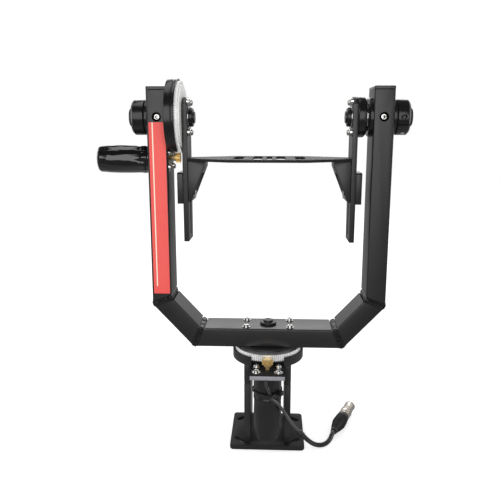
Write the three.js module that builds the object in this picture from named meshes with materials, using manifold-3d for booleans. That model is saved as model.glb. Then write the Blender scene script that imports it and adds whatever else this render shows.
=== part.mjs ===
// Remote pan tilt head for film and camera work. A small fixed base holds the pan motor and drives
// a U-shaped yoke of welded rectangular tube. Two slotted arms hang between the uprights and carry a
// camera platform, which a second motor in the left upright tilts. Both drives are one module: an
// aluminium spur gear that sits in a black drum, and a brass pinion that reaches it through a window.
// Millimetres, +Z up, +Y away from the viewer. The origin is on the pan axis, under the base plate.

import * as THREE from 'three';
import { mergeVertices } from 'three/addons/utils/BufferGeometryUtils.js';
import Module from 'manifold-3d';

const wasm = await Module();
wasm.setup();

// Shared fits and facets
const clearance = 0.3;
const overrun = 2;
const edgeChamfer = 1;
const weldTolerance = 0.0001;
const drumSides = 32;
const roundSides = 18;
const shaftSides = 12;
const boltSides = 8;
const arcSteps = 3;

// Base plate, lying on what carries the head
const baseWidth = 118;
const baseDepth = 111;
const baseThickness = 6.5;
const baseCornerRadius = 6;
const baseSlotWidth = 8;
const baseSlotRun = 15;
const baseSlotX = 43;
const baseSlotY = 36;
const baseSlotAngle = 2 * Math.PI / 9;

// Side brackets, which stand on the base plate and carry the pan drive
const driveHeight = 138;
const bracketGap = 53;
const bracketThickness = 10;
const bracketDepth = 90;
const bracketNotchTop = 110.8;
const bracketNotchBottom = 105.7;
const bracketNotchDepth = 3;

// Pan motor plate between the brackets
const motorPlateThickness = 7;
const motorPlateFront = 85.5;
const motorPlateBack = 30;

// Shafts and bearings, the same for both axes
const shaftRadius = 8.5;
const threadRadius = 6;
const bearingRadius = 17.5;
const bearingWidth = 10;
const bearingLip = 2;
const bearingLipShare = 0.8;
const spigotRadius = 20;
const spigotLength = 10;

// Drive module, measured along its axis from the face that it is mounted on
const drumRadius = 56.5;
const drumWall = 2.5;
const drumFloor = 4;
const drumHeight = 15;
const windowWidth = 50;
const windowStart = 38;
const gearModule = 1;
const gearTeeth = 104;
const pinionTeeth = 15;
const pressureAngle = Math.PI / 9;
const dedendumShare = 1.25;
const backlash = 0.2;
const gearBottom = 9;
const gearTop = 19;
const gearHubRadius = 14;
const panStack = 22.5;
const tiltStack = 21;
const panFlangeRadius = 40;
const tiltFlangeRadius = 47;
const pinionBottom = 8;
const pinionTop = 15;
const pinionBossRadius = 5.5;
const pinionBossLength = 3;
const pinionShankRadius = 3.2;
const gearFlankSteps = 1;
const pinionFlankSteps = 2;

// Geared motors in their black wrap. The gearbox's shaft lies off its middle, towards the gear.
const gearboxRadius = 21.5;
const gearboxLength = 38;
const gearboxOffset = 2.5;
const motorRadius = 20.8;
const panMotorLength = 64;
const tiltMotorLength = 72.5;
const motorTaper = 1.3;
const motorTaperLength = 18;
const motorEndRadius = 16;
const motorEndLength = 3.5;
const gearboxGroove = 1;
const gearboxGrooveWidth = 2.5;

// Yoke of rectangular tube
const tubeWidth = 30;
const tubeDepth = 55;
const tubeWall = 3;
const yokeWidth = 360;
const yokeFootWidth = 235;
const kneeRise = 68;
const uprightLength = 323.5;
const grubHoleRadius = 6.5;
const capThickness = 5.5;
const capCornerRadius = 2;
const capSpigot = 8;

// Pan shaft ends
const retainerRadius = 18;
const retainerLength = 11;
const capNutFlange = 13;
const capNutFlangeHeight = 4.2;
const capNutRadius = 7.8;
const capNutHeight = 7.5;
const threadLength = 4;

// Tilt axis, measured from the yoke bar's underside
const tiltRise = 353.5;

// Cradle arms
const armThickness = 7.5;
const armWidth = 46;
const armTopRadius = 29.5;
const armDrop = 186;
const armSlotWidth = 10;
const armSlotTop = 65.5;
const armSlotEndWall = 9;

// Right hub, housings, collars and nuts on the tilt axis
const hubRadius = 29.5;
const hubLength = 12;
const spacerRadius = 18.5;
const innerFlangeRadius = 28.5;
const innerFlange = 6.5;
const outerFlangeRadius = 26.5;
const outerFlange = 5;
const collarRadius = 26;
const collarLength = 19.2;
const collarChamfer = 3;
const collarSplit = 1.4;
const collarSplitAngle = Math.PI / 7;
const collarSocketRadius = 2.6;
const collarSocketDepth = 6;
const collarBossRadius = 13.5;
const collarBossLength = 5;
const shaftNutRadius = 14;
const shaftNutLength = 8;
const nutWasherThickness = 1.5;

// Camera platform, hung under the tilt axis
const platformDrop = 60;
const platformThickness = 4;
const platformDepth = 126;
const platformEndDepth = 50;
const platformStraight = 110;
const centreSlotWidth = 8.4;
const centreSlotLength = 92;
const innerSlotX = 17.5;
const innerSlotWidth = 14;
const innerSlotLength = 96;
const outerSlotX = 46.5;
const outerSlotWidth = 15;
const outerSlotLength = 80;

// Gusset brackets, clamp plates and clamp bolts
const gussetWidth = 25;
const gussetHeight = 61;
const gussetLip = 8.5;
const gussetWall = 4;
const clampThickness = 8.7;
const clampHeight = 47;
const clampDepth = 42;
const clampBelowGusset = 3;
const clampBoltRadius = 4;
const clampHeadRadius = 6.5;
const clampHeadLength = 5;
const clampBoltRises = { lower: 10, upper: 28 };

// Motor lead, cable and connector
const leadDiameter = 4.8;
const cableDiameter = 7.5;
const leadSteps = 18;
const cableSteps = 10;
const cordSides = 8;
const leadGap = 0.6;
const spliceRadius = 4.6;
const tieWidth = 4;
const tieThickness = 1.2;
const tieLeadSlack = 0.9;
const tieLockSize = { width: 8, depth: 6, height: 7 };
const tieLockAngle = -Math.PI / 5;
const bootRadius = 11.3;
const bootTailRadius = 5.2;
const bootNeckRadius = 9.8;
const bootLength = 56;
const bootTailShare = 0.06;
const bootShoulderShare = 0.55;
const shellRadius = 9.9;
const shellNoseRadius = 8.9;
const shellLength = 44;
const shellCollarLength = 20;
const shellBoreRadius = 7.6;
const shellBoreDepth = 3;

// Hand-chosen points. The lead's y is counted from the line on which it runs down the gearbox's front,
// and its heights follow the motor plate. The cable's x is counted from the base plate's right edge.
const leadTiePoint = [4.4, 0, 107];
const leadPoints = [
  [-2, 0, 130.7], [-1.2, 0, 124], [1.4, 0, 117], [3.5, 0, 111], leadTiePoint,
  [5.6, 0.3, 103], [9.6, 1.6, 99], [16.4, 4.6, 91.6], [24.2, 10.8, 78.4], [30.6, 17.8, 64.3],
  [37.6, 25.5, 49.8], [43.9, 31.6, 39.1], [47.5, 34.4, 33.9], [50.4, 36.5, 29.9],
];
const cablePoints = [
  [-2.4, -46, 21.5], [0.4, -44.2, 17.7], [6, -43.6, 11.8], [14.6, -44.8, 6.6], [24.4, -44.2, 4.1],
  [34.4, -39.4, 4.3], [41.8, -31, 6.9], [45.6, -23.2, 10.1], [47.5, -18.6, 11.3], [49, -15, 11.3],
];
const bootDirection = 3 * Math.PI / 8;

// Lengths that follow from the driving dimensions
const bearingBore = bearingRadius + clearance;
const shaftBore = shaftRadius + clearance;
const pinionReach = gearModule * (gearTeeth + pinionTeeth) / 2;
const motorReach = pinionReach + gearboxOffset;
const barBottom = driveHeight + panStack;
const barTop = barBottom + tubeWidth;
const tiltHeight = barBottom + tiltRise;
const kneeHeight = barBottom + kneeRise;
const yokeTop = kneeHeight + uprightLength;
const tubeInner = yokeWidth / 2 - tubeWidth;
const tubeOuter = yokeWidth / 2;
const armOuter = tubeInner - tiltStack;
const armInner = armOuter - armThickness;
const platformTop = tiltHeight - platformDrop;
const gussetTop = platformTop - platformThickness;
const gussetBottom = gussetTop - gussetHeight;
const gussetOuter = armInner - clearance;
const clampInner = armOuter + clearance;
const clampBottom = gussetBottom - clampBelowGusset;

// Finishes
const blackCoat = { color: 0x333334, roughness: 0.55, metalness: 0.3 };
const blackAnodised = { color: 0x1d1d1e, roughness: 0.35, metalness: 0.5 };
const blackWrap = { color: 0x151516, roughness: 0.3, metalness: 0 };
const blackPlastic = { color: 0x111112, roughness: 0.4, metalness: 0 };
const brightAluminium = { color: 0xd9dadb, roughness: 0.3, metalness: 1 };
const bearingSteel = { color: 0xb4b6b8, roughness: 0.25, metalness: 1 };
const nickel = { color: 0xc9c6c0, roughness: 0.2, metalness: 1 };
const brass = { color: 0xc89b4a, roughness: 0.3, metalness: 1 };
const rubber = { color: 0x232324, roughness: 0.8, metalness: 0 };

// Every piece is one named mesh with its own material.
function piece(name, geometry, finish, place = new THREE.Vector3()) {
  const mesh = new THREE.Mesh(geometry, new THREE.MeshStandardMaterial(finish));
  mesh.name = name;
  mesh.position.copy(place);
  return mesh;
}

// A body turned about +Z from [radius, height] points, outside going up.
function turned(profile, sides = roundSides) {
  const points = profile.map(([radius, height]) => new THREE.Vector2(radius, height));
  return new THREE.LatheGeometry(points, sides).rotateX(Math.PI / 2);
}

// A ring has a closed profile.
function turnedRing(profile, sides = roundSides) {
  return turned([...profile, profile[0]], sides);
}

// A plain round bar from one height to another.
function rod(radius, bottom, top, sides = shaftSides) {
  return turned([[0, bottom], [radius, bottom], [radius, top], [0, top]], sides);
}

// A flat shape given thickness along +Z.
function extruded(shape, depth) {
  return new THREE.ExtrudeGeometry(shape, { depth, bevelEnabled: false, curveSegments: arcSteps });
}

// A box that spans the given corners.
function block(low, high) {
  const size = high.clone().sub(low);
  const centre = high.clone().add(low).multiplyScalar(0.5);
  return new THREE.BoxGeometry(size.x, size.y, size.z).translate(centre.x, centre.y, centre.z);
}

// Turns a shape drawn in (x, z) and extruded upwards into one that is extruded along Y about Y = 0.
function standing(geometry, depth) {
  return geometry.rotateX(Math.PI / 2).translate(0, depth / 2, 0);
}

// Turns +Z into the outward direction of one side: local y becomes Z.
function sideways(geometry, side) {
  const turn = new THREE.Matrix4().makeBasis(
    new THREE.Vector3(0, side, 0),
    new THREE.Vector3(0, 0, 1),
    new THREE.Vector3(side, 0, 0),
  );
  return geometry.applyMatrix4(turn);
}

// Closed meshes become solids that can be joined and cut.
function solidOf(geometry) {
  const bare = geometry.clone();
  bare.deleteAttribute('normal');
  bare.deleteAttribute('uv');
  const merged = mergeVertices(bare, weldTolerance);
  return new wasm.Manifold(new wasm.Mesh({
    numProp: 3,
    vertProperties: Float32Array.from(merged.attributes.position.array),
    triVerts: Uint32Array.from(merged.index.array),
  }));
}

function geometryOf(solid) {
  const mesh = solid.getMesh();
  const geometry = new THREE.BufferGeometry();
  geometry.setAttribute('position', new THREE.BufferAttribute(mesh.vertProperties, 3));
  geometry.setIndex(new THREE.BufferAttribute(mesh.triVerts, 1));
  geometry.computeVertexNormals();
  return geometry;
}

function cut(geometry, ...tools) {
  return geometryOf(tools.reduce((solid, tool) => solid.subtract(solidOf(tool)), solidOf(geometry)));
}

function join(geometry, ...others) {
  return geometryOf(others.reduce((solid, other) => solid.add(solidOf(other)), solidOf(geometry)));
}

// Outlines

function roundedRectangle(width, depth, radius) {
  const right = width / 2 - radius;
  const back = depth / 2 - radius;
  const shape = new THREE.Shape();
  shape.absarc(right, -back, radius, -Math.PI / 2, 0, false);
  shape.absarc(right, back, radius, 0, Math.PI / 2, false);
  shape.absarc(-right, back, radius, Math.PI / 2, Math.PI, false);
  shape.absarc(-right, -back, radius, Math.PI, 3 * Math.PI / 2, false);
  shape.closePath();
  return shape;
}

function slotHole(centreX, centreY, run, width, angle) {
  const alongX = Math.cos(angle) * run / 2;
  const alongY = Math.sin(angle) * run / 2;
  const path = new THREE.Path();
  const radius = width / 2;
  const quarter = Math.PI / 2;
  path.absarc(centreX + alongX, centreY + alongY, radius, angle - quarter, angle + quarter, false);
  path.absarc(centreX - alongX, centreY - alongY, radius, angle + quarter, angle + 3 * quarter, false);
  path.closePath();
  return path;
}

function roundHole(radius) {
  const circle = new THREE.EllipseCurve(0, 0, radius, radius, 0, 2 * Math.PI);
  return new THREE.Path(circle.getPoints(shaftSides).slice(0, -1));
}

// Involute spur gear: the flank's half angle follows the radius, and is radial below the base circle.
function gearShape(teeth, firstTooth, flankSteps) {
  const pitch = gearModule * teeth / 2;
  const root = pitch - gearModule * dedendumShare;
  const tip = pitch + gearModule;
  const base = pitch * Math.cos(pressureAngle);
  const involute = (angle) => Math.tan(angle) - angle;
  const halfAtPitch = Math.PI / (2 * teeth) - backlash / (2 * pitch);
  const halfAngle = (radius) => {
    const roll = Math.acos(Math.min(1, base / radius));
    return halfAtPitch + involute(pressureAngle) - involute(roll);
  };
  const shape = new THREE.Shape();
  for (let tooth = 0; tooth < teeth; tooth += 1) {
    const middle = firstTooth + 2 * Math.PI * tooth / teeth;
    const rising = [];
    for (let step = 0; step <= flankSteps; step += 1) {
      const radius = root + (tip - root) * step / flankSteps;
      rising.push([radius, halfAngle(radius)]);
    }
    const flank = [
      ...rising.map(([radius, half]) => [radius, middle - half]),
      ...rising.reverse().map(([radius, half]) => [radius, middle + half]),
    ];
    flank.forEach(([radius, angle], index) => {
      const x = radius * Math.cos(angle);
      const y = radius * Math.sin(angle);
      if (tooth === 0 && index === 0) shape.moveTo(x, y);
      else shape.lineTo(x, y);
    });
  }
  shape.closePath();
  return shape;
}

// Drive module. Its axis is +Z from the mounting face, and its pinion lies towards -Y.

function driveDrum() {
  const lipRadius = bearingRadius * bearingLipShare;
  const seatBottom = drumFloor - bearingWidth;
  const cup = turnedRing([
    [lipRadius, seatBottom - bearingLip], [spigotRadius, seatBottom - bearingLip], [spigotRadius, 0],
    [drumRadius, 0], [drumRadius, drumHeight], [drumRadius - drumWall, drumHeight],
    [drumRadius - drumWall, drumFloor], [bearingBore, drumFloor], [bearingBore, seatBottom],
    [lipRadius, seatBottom],
  ], drumSides);
  const windowTool = block(
    new THREE.Vector3(-windowWidth / 2, -drumRadius - overrun, -overrun),
    new THREE.Vector3(windowWidth / 2, -windowStart, drumHeight + overrun),
  );
  return cut(cup, windowTool);
}

function ballBearing() {
  return turnedRing([
    [shaftBore, 0], [bearingRadius, 0], [bearingRadius, bearingWidth], [shaftBore, bearingWidth],
  ]);
}

function driveBearing() {
  return ballBearing().translate(0, 0, drumFloor - bearingWidth);
}

function driveGear() {
  const blank = extruded(gearShape(gearTeeth, -Math.PI / 2, gearFlankSteps), gearTop - gearBottom);
  const hubBottom = drumFloor + clearance;
  const hub = rod(gearHubRadius, hubBottom, gearBottom + overrun, roundSides);
  const bore = rod(shaftBore, hubBottom - overrun, gearTop + overrun);
  return cut(join(blank.translate(0, 0, gearBottom), hub), bore);
}

function driveFlange(radius, stack) {
  return turnedRing([
    [shaftBore, gearTop], [radius, gearTop], [radius, stack], [shaftBore, stack],
  ], drumSides);
}

// The pinion has a boss, and its shank runs down through the plate that its motor hangs on.
function drivePinion(plateThickness) {
  const gap = Math.PI / 2 + Math.PI / pinionTeeth;
  const toothed = extruded(gearShape(pinionTeeth, gap, pinionFlankSteps), pinionTop - pinionBottom);
  const boss = rod(pinionBossRadius, pinionBottom - pinionBossLength, pinionBottom + overrun);
  const shank = rod(pinionShankRadius, clearance - plateThickness, pinionBottom);
  return join(toothed.translate(0, 0, pinionBottom), boss, shank);
}

// The gearbox has one groove near its open end, and hangs below its mounting face.
function gearbox() {
  const grooveTop = gearboxGrooveWidth - gearboxLength + 2 * gearboxGrooveWidth;
  const groove = gearboxRadius - gearboxGroove;
  return turned([
    [0, -gearboxLength], [gearboxRadius - edgeChamfer, -gearboxLength],
    [gearboxRadius, edgeChamfer - gearboxLength], [gearboxRadius, grooveTop - gearboxGrooveWidth],
    [groove, grooveTop - gearboxGrooveWidth], [groove, grooveTop], [gearboxRadius, grooveTop],
    [gearboxRadius, 0], [0, 0],
  ]);
}

// The wrap shrinks towards the motor's free end.
function motorCan(length) {
  const end = -gearboxLength - length;
  return turned([
    [0, end], [motorEndRadius, end], [motorRadius - motorTaper, end + motorEndLength],
    [motorRadius, end + motorTaperLength], [motorRadius, -gearboxLength], [0, -gearboxLength],
  ]);
}

// Groups that place the drive module on its two axes

function panDrive() {
  const group = new THREE.Group();
  group.position.set(0, 0, driveHeight);
  return group;
}

function tiltDrive() {
  const group = new THREE.Group();
  group.setRotationFromMatrix(new THREE.Matrix4().makeBasis(
    new THREE.Vector3(0, 1, 0),
    new THREE.Vector3(0, 0, 1),
    new THREE.Vector3(1, 0, 0),
  ));
  group.position.set(-tubeInner, 0, tiltHeight);
  return group;
}

const pinionPlace = new THREE.Vector3(0, -pinionReach, 0);

// Fixed base

function basePlate() {
  const shape = roundedRectangle(baseWidth, baseDepth, baseCornerRadius);
  for (const sideX of [-1, 1]) {
    for (const sideY of [-1, 1]) {
      const angle = -sideX * sideY * baseSlotAngle;
      shape.holes.push(slotHole(sideX * baseSlotX, sideY * baseSlotY, baseSlotRun, baseSlotWidth, angle));
    }
  }
  return extruded(shape, baseThickness);
}

// Drawn as (y, z): a straight leg with a notch across its front edge under the drum.
function sideBracket() {
  const half = bracketDepth / 2;
  const shape = new THREE.Shape();
  shape.moveTo(-half, baseThickness);
  shape.lineTo(half, baseThickness);
  shape.lineTo(half, driveHeight);
  shape.lineTo(-half, driveHeight);
  shape.lineTo(-half, bracketNotchTop);
  shape.lineTo(bracketNotchDepth - half, bracketNotchTop);
  shape.lineTo(bracketNotchDepth - half, bracketNotchBottom);
  shape.lineTo(-half, bracketNotchBottom);
  shape.closePath();
  return sideways(extruded(shape, bracketThickness), 1);
}

function motorPlate() {
  const plate = block(
    new THREE.Vector3(-bracketGap / 2, -motorPlateFront, -motorPlateThickness),
    new THREE.Vector3(bracketGap / 2, -motorPlateBack, 0),
  );
  const hole = rod(pinionShankRadius + clearance, -motorPlateThickness - overrun, overrun);
  return cut(plate, hole.translate(0, -pinionReach, 0));
}

function leadRoute() {
  const front = -(motorReach + gearboxRadius + leadGap + leadDiameter / 2);
  const rise = (driveHeight - motorPlateThickness - clearance) / leadPoints[0][2];
  return leadPoints.map(([x, y, z]) => new THREE.Vector3(x, front + y, z * rise));
}

function cableRoute() {
  return cablePoints.map(([x, y, z]) => new THREE.Vector3(baseWidth / 2 + x, y, z));
}

// Where the tie holds the lead
function tiedLead() {
  return leadRoute()[leadPoints.indexOf(leadTiePoint)];
}

// The strap runs round the gearbox and the lead that it holds, along two arcs and their tangents.
function strapOutline(Outline, offset) {
  const tied = tiedLead();
  const lead = new THREE.Vector2(tied.x, tied.y + motorReach);
  const leadRadius = leadDiameter / 2 + tieLeadSlack;
  const towards = lead.angle();
  const spread = Math.acos((gearboxRadius - leadRadius) / lead.length());
  const arc = (centre, radius, from, to, steps) => (
    new THREE.EllipseCurve(centre.x, centre.y, radius, radius, from, to).getPoints(steps)
  );
  const farSide = towards - spread + 2 * Math.PI;
  return new Outline([
    ...arc(new THREE.Vector2(), gearboxRadius + offset, towards + spread, farSide, roundSides),
    ...arc(lead, leadRadius + offset, towards - spread, towards + spread, arcSteps),
  ]);
}

function motorCableTie() {
  const shape = strapOutline(THREE.Shape, clearance + tieThickness);
  shape.holes.push(strapOutline(THREE.Path, clearance));
  const strap = extruded(shape, tieWidth);
  const seat = gearboxRadius + clearance + tieThickness / 2;
  const lock = block(
    new THREE.Vector3(seat, -tieLockSize.width / 2, (tieWidth - tieLockSize.height) / 2),
    new THREE.Vector3(seat + tieLockSize.depth, tieLockSize.width / 2, (tieWidth + tieLockSize.height) / 2),
  );
  return join(strap, lock.rotateZ(tieLockAngle));
}

// A free cord is a round section swept along its route.
function cord(route, diameter, steps) {
  const section = new THREE.Shape();
  for (let side = 0; side < cordSides; side += 1) {
    const angle = 2 * Math.PI * side / cordSides;
    const x = diameter / 2 * Math.cos(angle);
    const y = diameter / 2 * Math.sin(angle);
    if (side === 0) section.moveTo(x, y);
    else section.lineTo(x, y);
  }
  section.closePath();
  const path = new THREE.CatmullRomCurve3(route);
  return new THREE.ExtrudeGeometry(section, { steps, extrudePath: path, bevelEnabled: false });
}

// The splice sleeve lies between the end of the lead and the start of the cable.
function leadSplice() {
  const from = leadRoute().at(-1);
  const to = cableRoute()[0];
  const direction = to.clone().sub(from).normalize();
  const length = to.distanceTo(from) - 2 * clearance;
  const sleeve = rod(spliceRadius, -length / 2, length / 2, boltSides);
  const turn = new THREE.Quaternion().setFromUnitVectors(new THREE.Vector3(0, 0, 1), direction);
  const middle = from.add(to).multiplyScalar(0.5);
  return sleeve.applyQuaternion(turn).translate(middle.x, middle.y, middle.z);
}

function connectorBoot() {
  return turned([
    [0, 0], [bootTailRadius, 0], [bootTailRadius, bootLength * bootTailShare],
    [bootRadius, bootLength * bootShoulderShare], [bootNeckRadius, bootLength], [0, bootLength],
  ], shaftSides);
}

function connectorShell() {
  const bottom = bootLength + clearance;
  const top = bottom + shellLength;
  return turned([
    [0, bottom], [shellRadius, bottom], [shellRadius, bottom + shellCollarLength],
    [shellNoseRadius, bottom + shellCollarLength + edgeChamfer], [shellNoseRadius, top - edgeChamfer],
    [shellNoseRadius - edgeChamfer, top], [shellBoreRadius, top], [shellBoreRadius, top - shellBoreDepth],
    [0, top - shellBoreDepth],
  ], shaftSides);
}

// The connector lies on the ground beside the base, in line with the end of the cable.
function connector() {
  const end = cableRoute().at(-1);
  const group = new THREE.Group();
  group.rotation.set(0, Math.PI / 2, bootDirection, 'ZYX');
  group.position.set(
    end.x + clearance * Math.cos(bootDirection),
    end.y + clearance * Math.sin(bootDirection),
    bootRadius,
  );
  group.add(piece('connector_boot', connectorBoot(), rubber));
  group.add(piece('connector_shell', connectorShell(), nickel));
  return group;
}

function fixedBase() {
  const group = new THREE.Group();
  group.add(piece('base_plate', basePlate(), blackAnodised));
  const rightFace = new THREE.Vector3(bracketGap / 2, 0, 0);
  const leftFace = new THREE.Vector3(-bracketGap / 2 - bracketThickness, 0, 0);
  group.add(piece('left_side_bracket', sideBracket(), blackAnodised, leftFace));
  group.add(piece('right_side_bracket', sideBracket(), blackAnodised, rightFace));

  const drive = panDrive();
  const motorPlace = new THREE.Vector3(0, -motorReach, -motorPlateThickness);
  const tieBottom = tiedLead().z - driveHeight - tieWidth / 2;
  const tiePlace = new THREE.Vector3(0, -motorReach, tieBottom);
  drive.add(piece('pan_motor_plate', motorPlate(), blackAnodised));
  drive.add(piece('pan_drum', driveDrum(), blackAnodised));
  drive.add(piece('pan_bearing', driveBearing(), bearingSteel));
  drive.add(piece('pan_gearbox', gearbox(), blackWrap, motorPlace));
  drive.add(piece('pan_motor', motorCan(panMotorLength), blackWrap, motorPlace));
  drive.add(piece('motor_cable_tie', motorCableTie(), blackPlastic, tiePlace));
  group.add(drive);

  group.add(piece('motor_lead', cord(leadRoute(), leadDiameter, leadSteps), blackPlastic));
  group.add(piece('lead_splice', leadSplice(), blackPlastic));
  group.add(piece('signal_cable', cord(cableRoute(), cableDiameter, cableSteps), rubber));
  group.add(connector());
  return group;
}

// Yoke

// Outer line of the U from the left top to the right top, drawn as (x, z).
function yokeLine() {
  const half = yokeWidth / 2;
  const foot = yokeFootWidth / 2;
  return [
    [-half, yokeTop], [-half, kneeHeight], [-foot, barBottom],
    [foot, barBottom], [half, kneeHeight], [half, yokeTop],
  ].map(([x, z]) => new THREE.Vector2(x, z));
}

// The corner point of the line when every side moves inwards by the same distance.
function insetCorner(line, index, inset) {
  const inward = (from, to) => {
    const along = to.clone().sub(from).normalize();
    return new THREE.Vector2(-along.y, along.x);
  };
  const before = index > 0 ? inward(line[index - 1], line[index]) : null;
  const after = index < line.length - 1 ? inward(line[index], line[index + 1]) : null;
  const first = before ?? after;
  const second = after ?? before;
  const mitre = first.clone().add(second).divideScalar(1 + first.dot(second));
  return line[index].clone().addScaledVector(mitre, inset);
}

// One length of tube, mitred where it meets the next, with a weld gap at each mitre.
function tubeLength(index) {
  const line = yokeLine();
  const along = line[index + 1].clone().sub(line[index]).normalize();
  const startGap = index > 0 ? clearance / 2 : 0;
  const endGap = index < line.length - 2 ? clearance / 2 : 0;
  const outline = (inset, farInset, startShift, endShift) => new THREE.Shape([
    insetCorner(line, index, inset).addScaledVector(along, startShift),
    insetCorner(line, index + 1, inset).addScaledVector(along, -endShift),
    insetCorner(line, index + 1, farInset).addScaledVector(along, -endShift),
    insetCorner(line, index, farInset).addScaledVector(along, startShift),
  ]);
  const skin = extruded(outline(0, tubeWidth, startGap, endGap), tubeDepth);
  const innerDepth = tubeDepth - 2 * tubeWall;
  const hollow = extruded(outline(tubeWall, tubeWidth - tubeWall, -overrun, -overrun), innerDepth);
  return cut(standing(skin, tubeDepth), standing(hollow, innerDepth));
}

// Cutting tools of an upright: the cross bore for the bearings and the hole over the grub screw.
function uprightTools(side) {
  const crossBore = rod(spigotRadius + clearance, tubeInner - overrun, tubeOuter + overrun, roundSides);
  const grubHole = rod(grubHoleRadius, tubeDepth / 2 - tubeWall - overrun, tubeDepth / 2 + overrun);
  const middle = side * (tubeInner + tubeWidth / 2);
  return [
    sideways(crossBore, side).translate(0, 0, tiltHeight),
    grubHole.rotateX(Math.PI / 2).translate(middle, 0, tiltHeight),
  ];
}

function leftUpright() {
  const motorHole = rod(gearboxRadius + clearance, tubeInner + tubeWall, tubeOuter + overrun, roundSides);
  const shankHole = rod(pinionShankRadius + clearance, tubeInner - overrun, tubeInner + tubeWall + overrun);
  return cut(
    tubeLength(0),
    ...uprightTools(-1),
    sideways(motorHole, -1).translate(0, 0, tiltHeight - motorReach),
    sideways(shankHole, -1).translate(0, 0, tiltHeight - pinionReach),
  );
}

function bottomBar() {
  return cut(tubeLength(2), rod(shaftBore, barBottom - overrun, barTop + overrun));
}

function endCap() {
  const inset = { bevelThickness: edgeChamfer, bevelSize: edgeChamfer, bevelOffset: -edgeChamfer };
  const lid = new THREE.ExtrudeGeometry(roundedRectangle(tubeWidth, tubeDepth, capCornerRadius), {
    depth: capThickness - 2 * edgeChamfer, bevelEnabled: true, bevelSegments: 1, curveSegments: 2, ...inset,
  }).translate(0, 0, edgeChamfer);
  const halfWidth = tubeWidth / 2 - tubeWall - clearance;
  const halfDepth = tubeDepth / 2 - tubeWall - clearance;
  const spigot = block(
    new THREE.Vector3(-halfWidth, -halfDepth, -capSpigot),
    new THREE.Vector3(halfWidth, halfDepth, capThickness / 2),
  );
  return join(lid, spigot);
}

function panShaft() {
  const bottom = drumFloor - bearingWidth - bearingLip - clearance - retainerLength;
  const shoulder = barTop - driveHeight - clearance;
  return turned([
    [0, bottom], [shaftRadius, bottom], [shaftRadius, shoulder], [threadRadius, shoulder],
    [threadRadius, shoulder + threadLength], [0, shoulder + threadLength],
  ], shaftSides);
}

// A split ring that holds the shaft up under the bearing.
function panRetainer() {
  const top = drumFloor - bearingWidth - bearingLip - clearance;
  const bottom = top - retainerLength;
  const ring = turnedRing([
    [shaftBore, bottom], [retainerRadius, bottom], [retainerRadius, top], [shaftBore, top],
  ]);
  const split = block(
    new THREE.Vector3(-collarSplit / 2, 0, bottom - overrun),
    new THREE.Vector3(collarSplit / 2, retainerRadius + overrun, top + overrun),
  );
  return cut(ring, split);
}

function panCapNut() {
  const bore = threadRadius + clearance;
  const boreTop = threadLength + clearance;
  return turned([
    [0, boreTop], [bore, boreTop], [bore, 0], [capNutFlange, 0],
    [capNutFlange, capNutFlangeHeight - edgeChamfer],
    [capNutFlange - edgeChamfer, capNutFlangeHeight], [capNutRadius, capNutFlangeHeight],
    [capNutRadius, capNutHeight - edgeChamfer], [capNutRadius - edgeChamfer, capNutHeight],
    [0, capNutHeight],
  ], shaftSides);
}

// Flanged housing: the flange stands on the tube wall and the spigot reaches inside.
function bearingHousing(flangeRadius, flange) {
  const lipRadius = bearingRadius * bearingLipShare;
  const seat = flange - bearingLip;
  return turnedRing([
    [bearingBore, -spigotLength], [spigotRadius, -spigotLength], [spigotRadius, 0], [flangeRadius, 0],
    [flangeRadius, flange], [lipRadius, flange], [lipRadius, seat], [bearingBore, seat],
  ]);
}

function housedBearing(flange) {
  return ballBearing().translate(0, 0, flange - bearingLip - clearance - bearingWidth);
}

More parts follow.
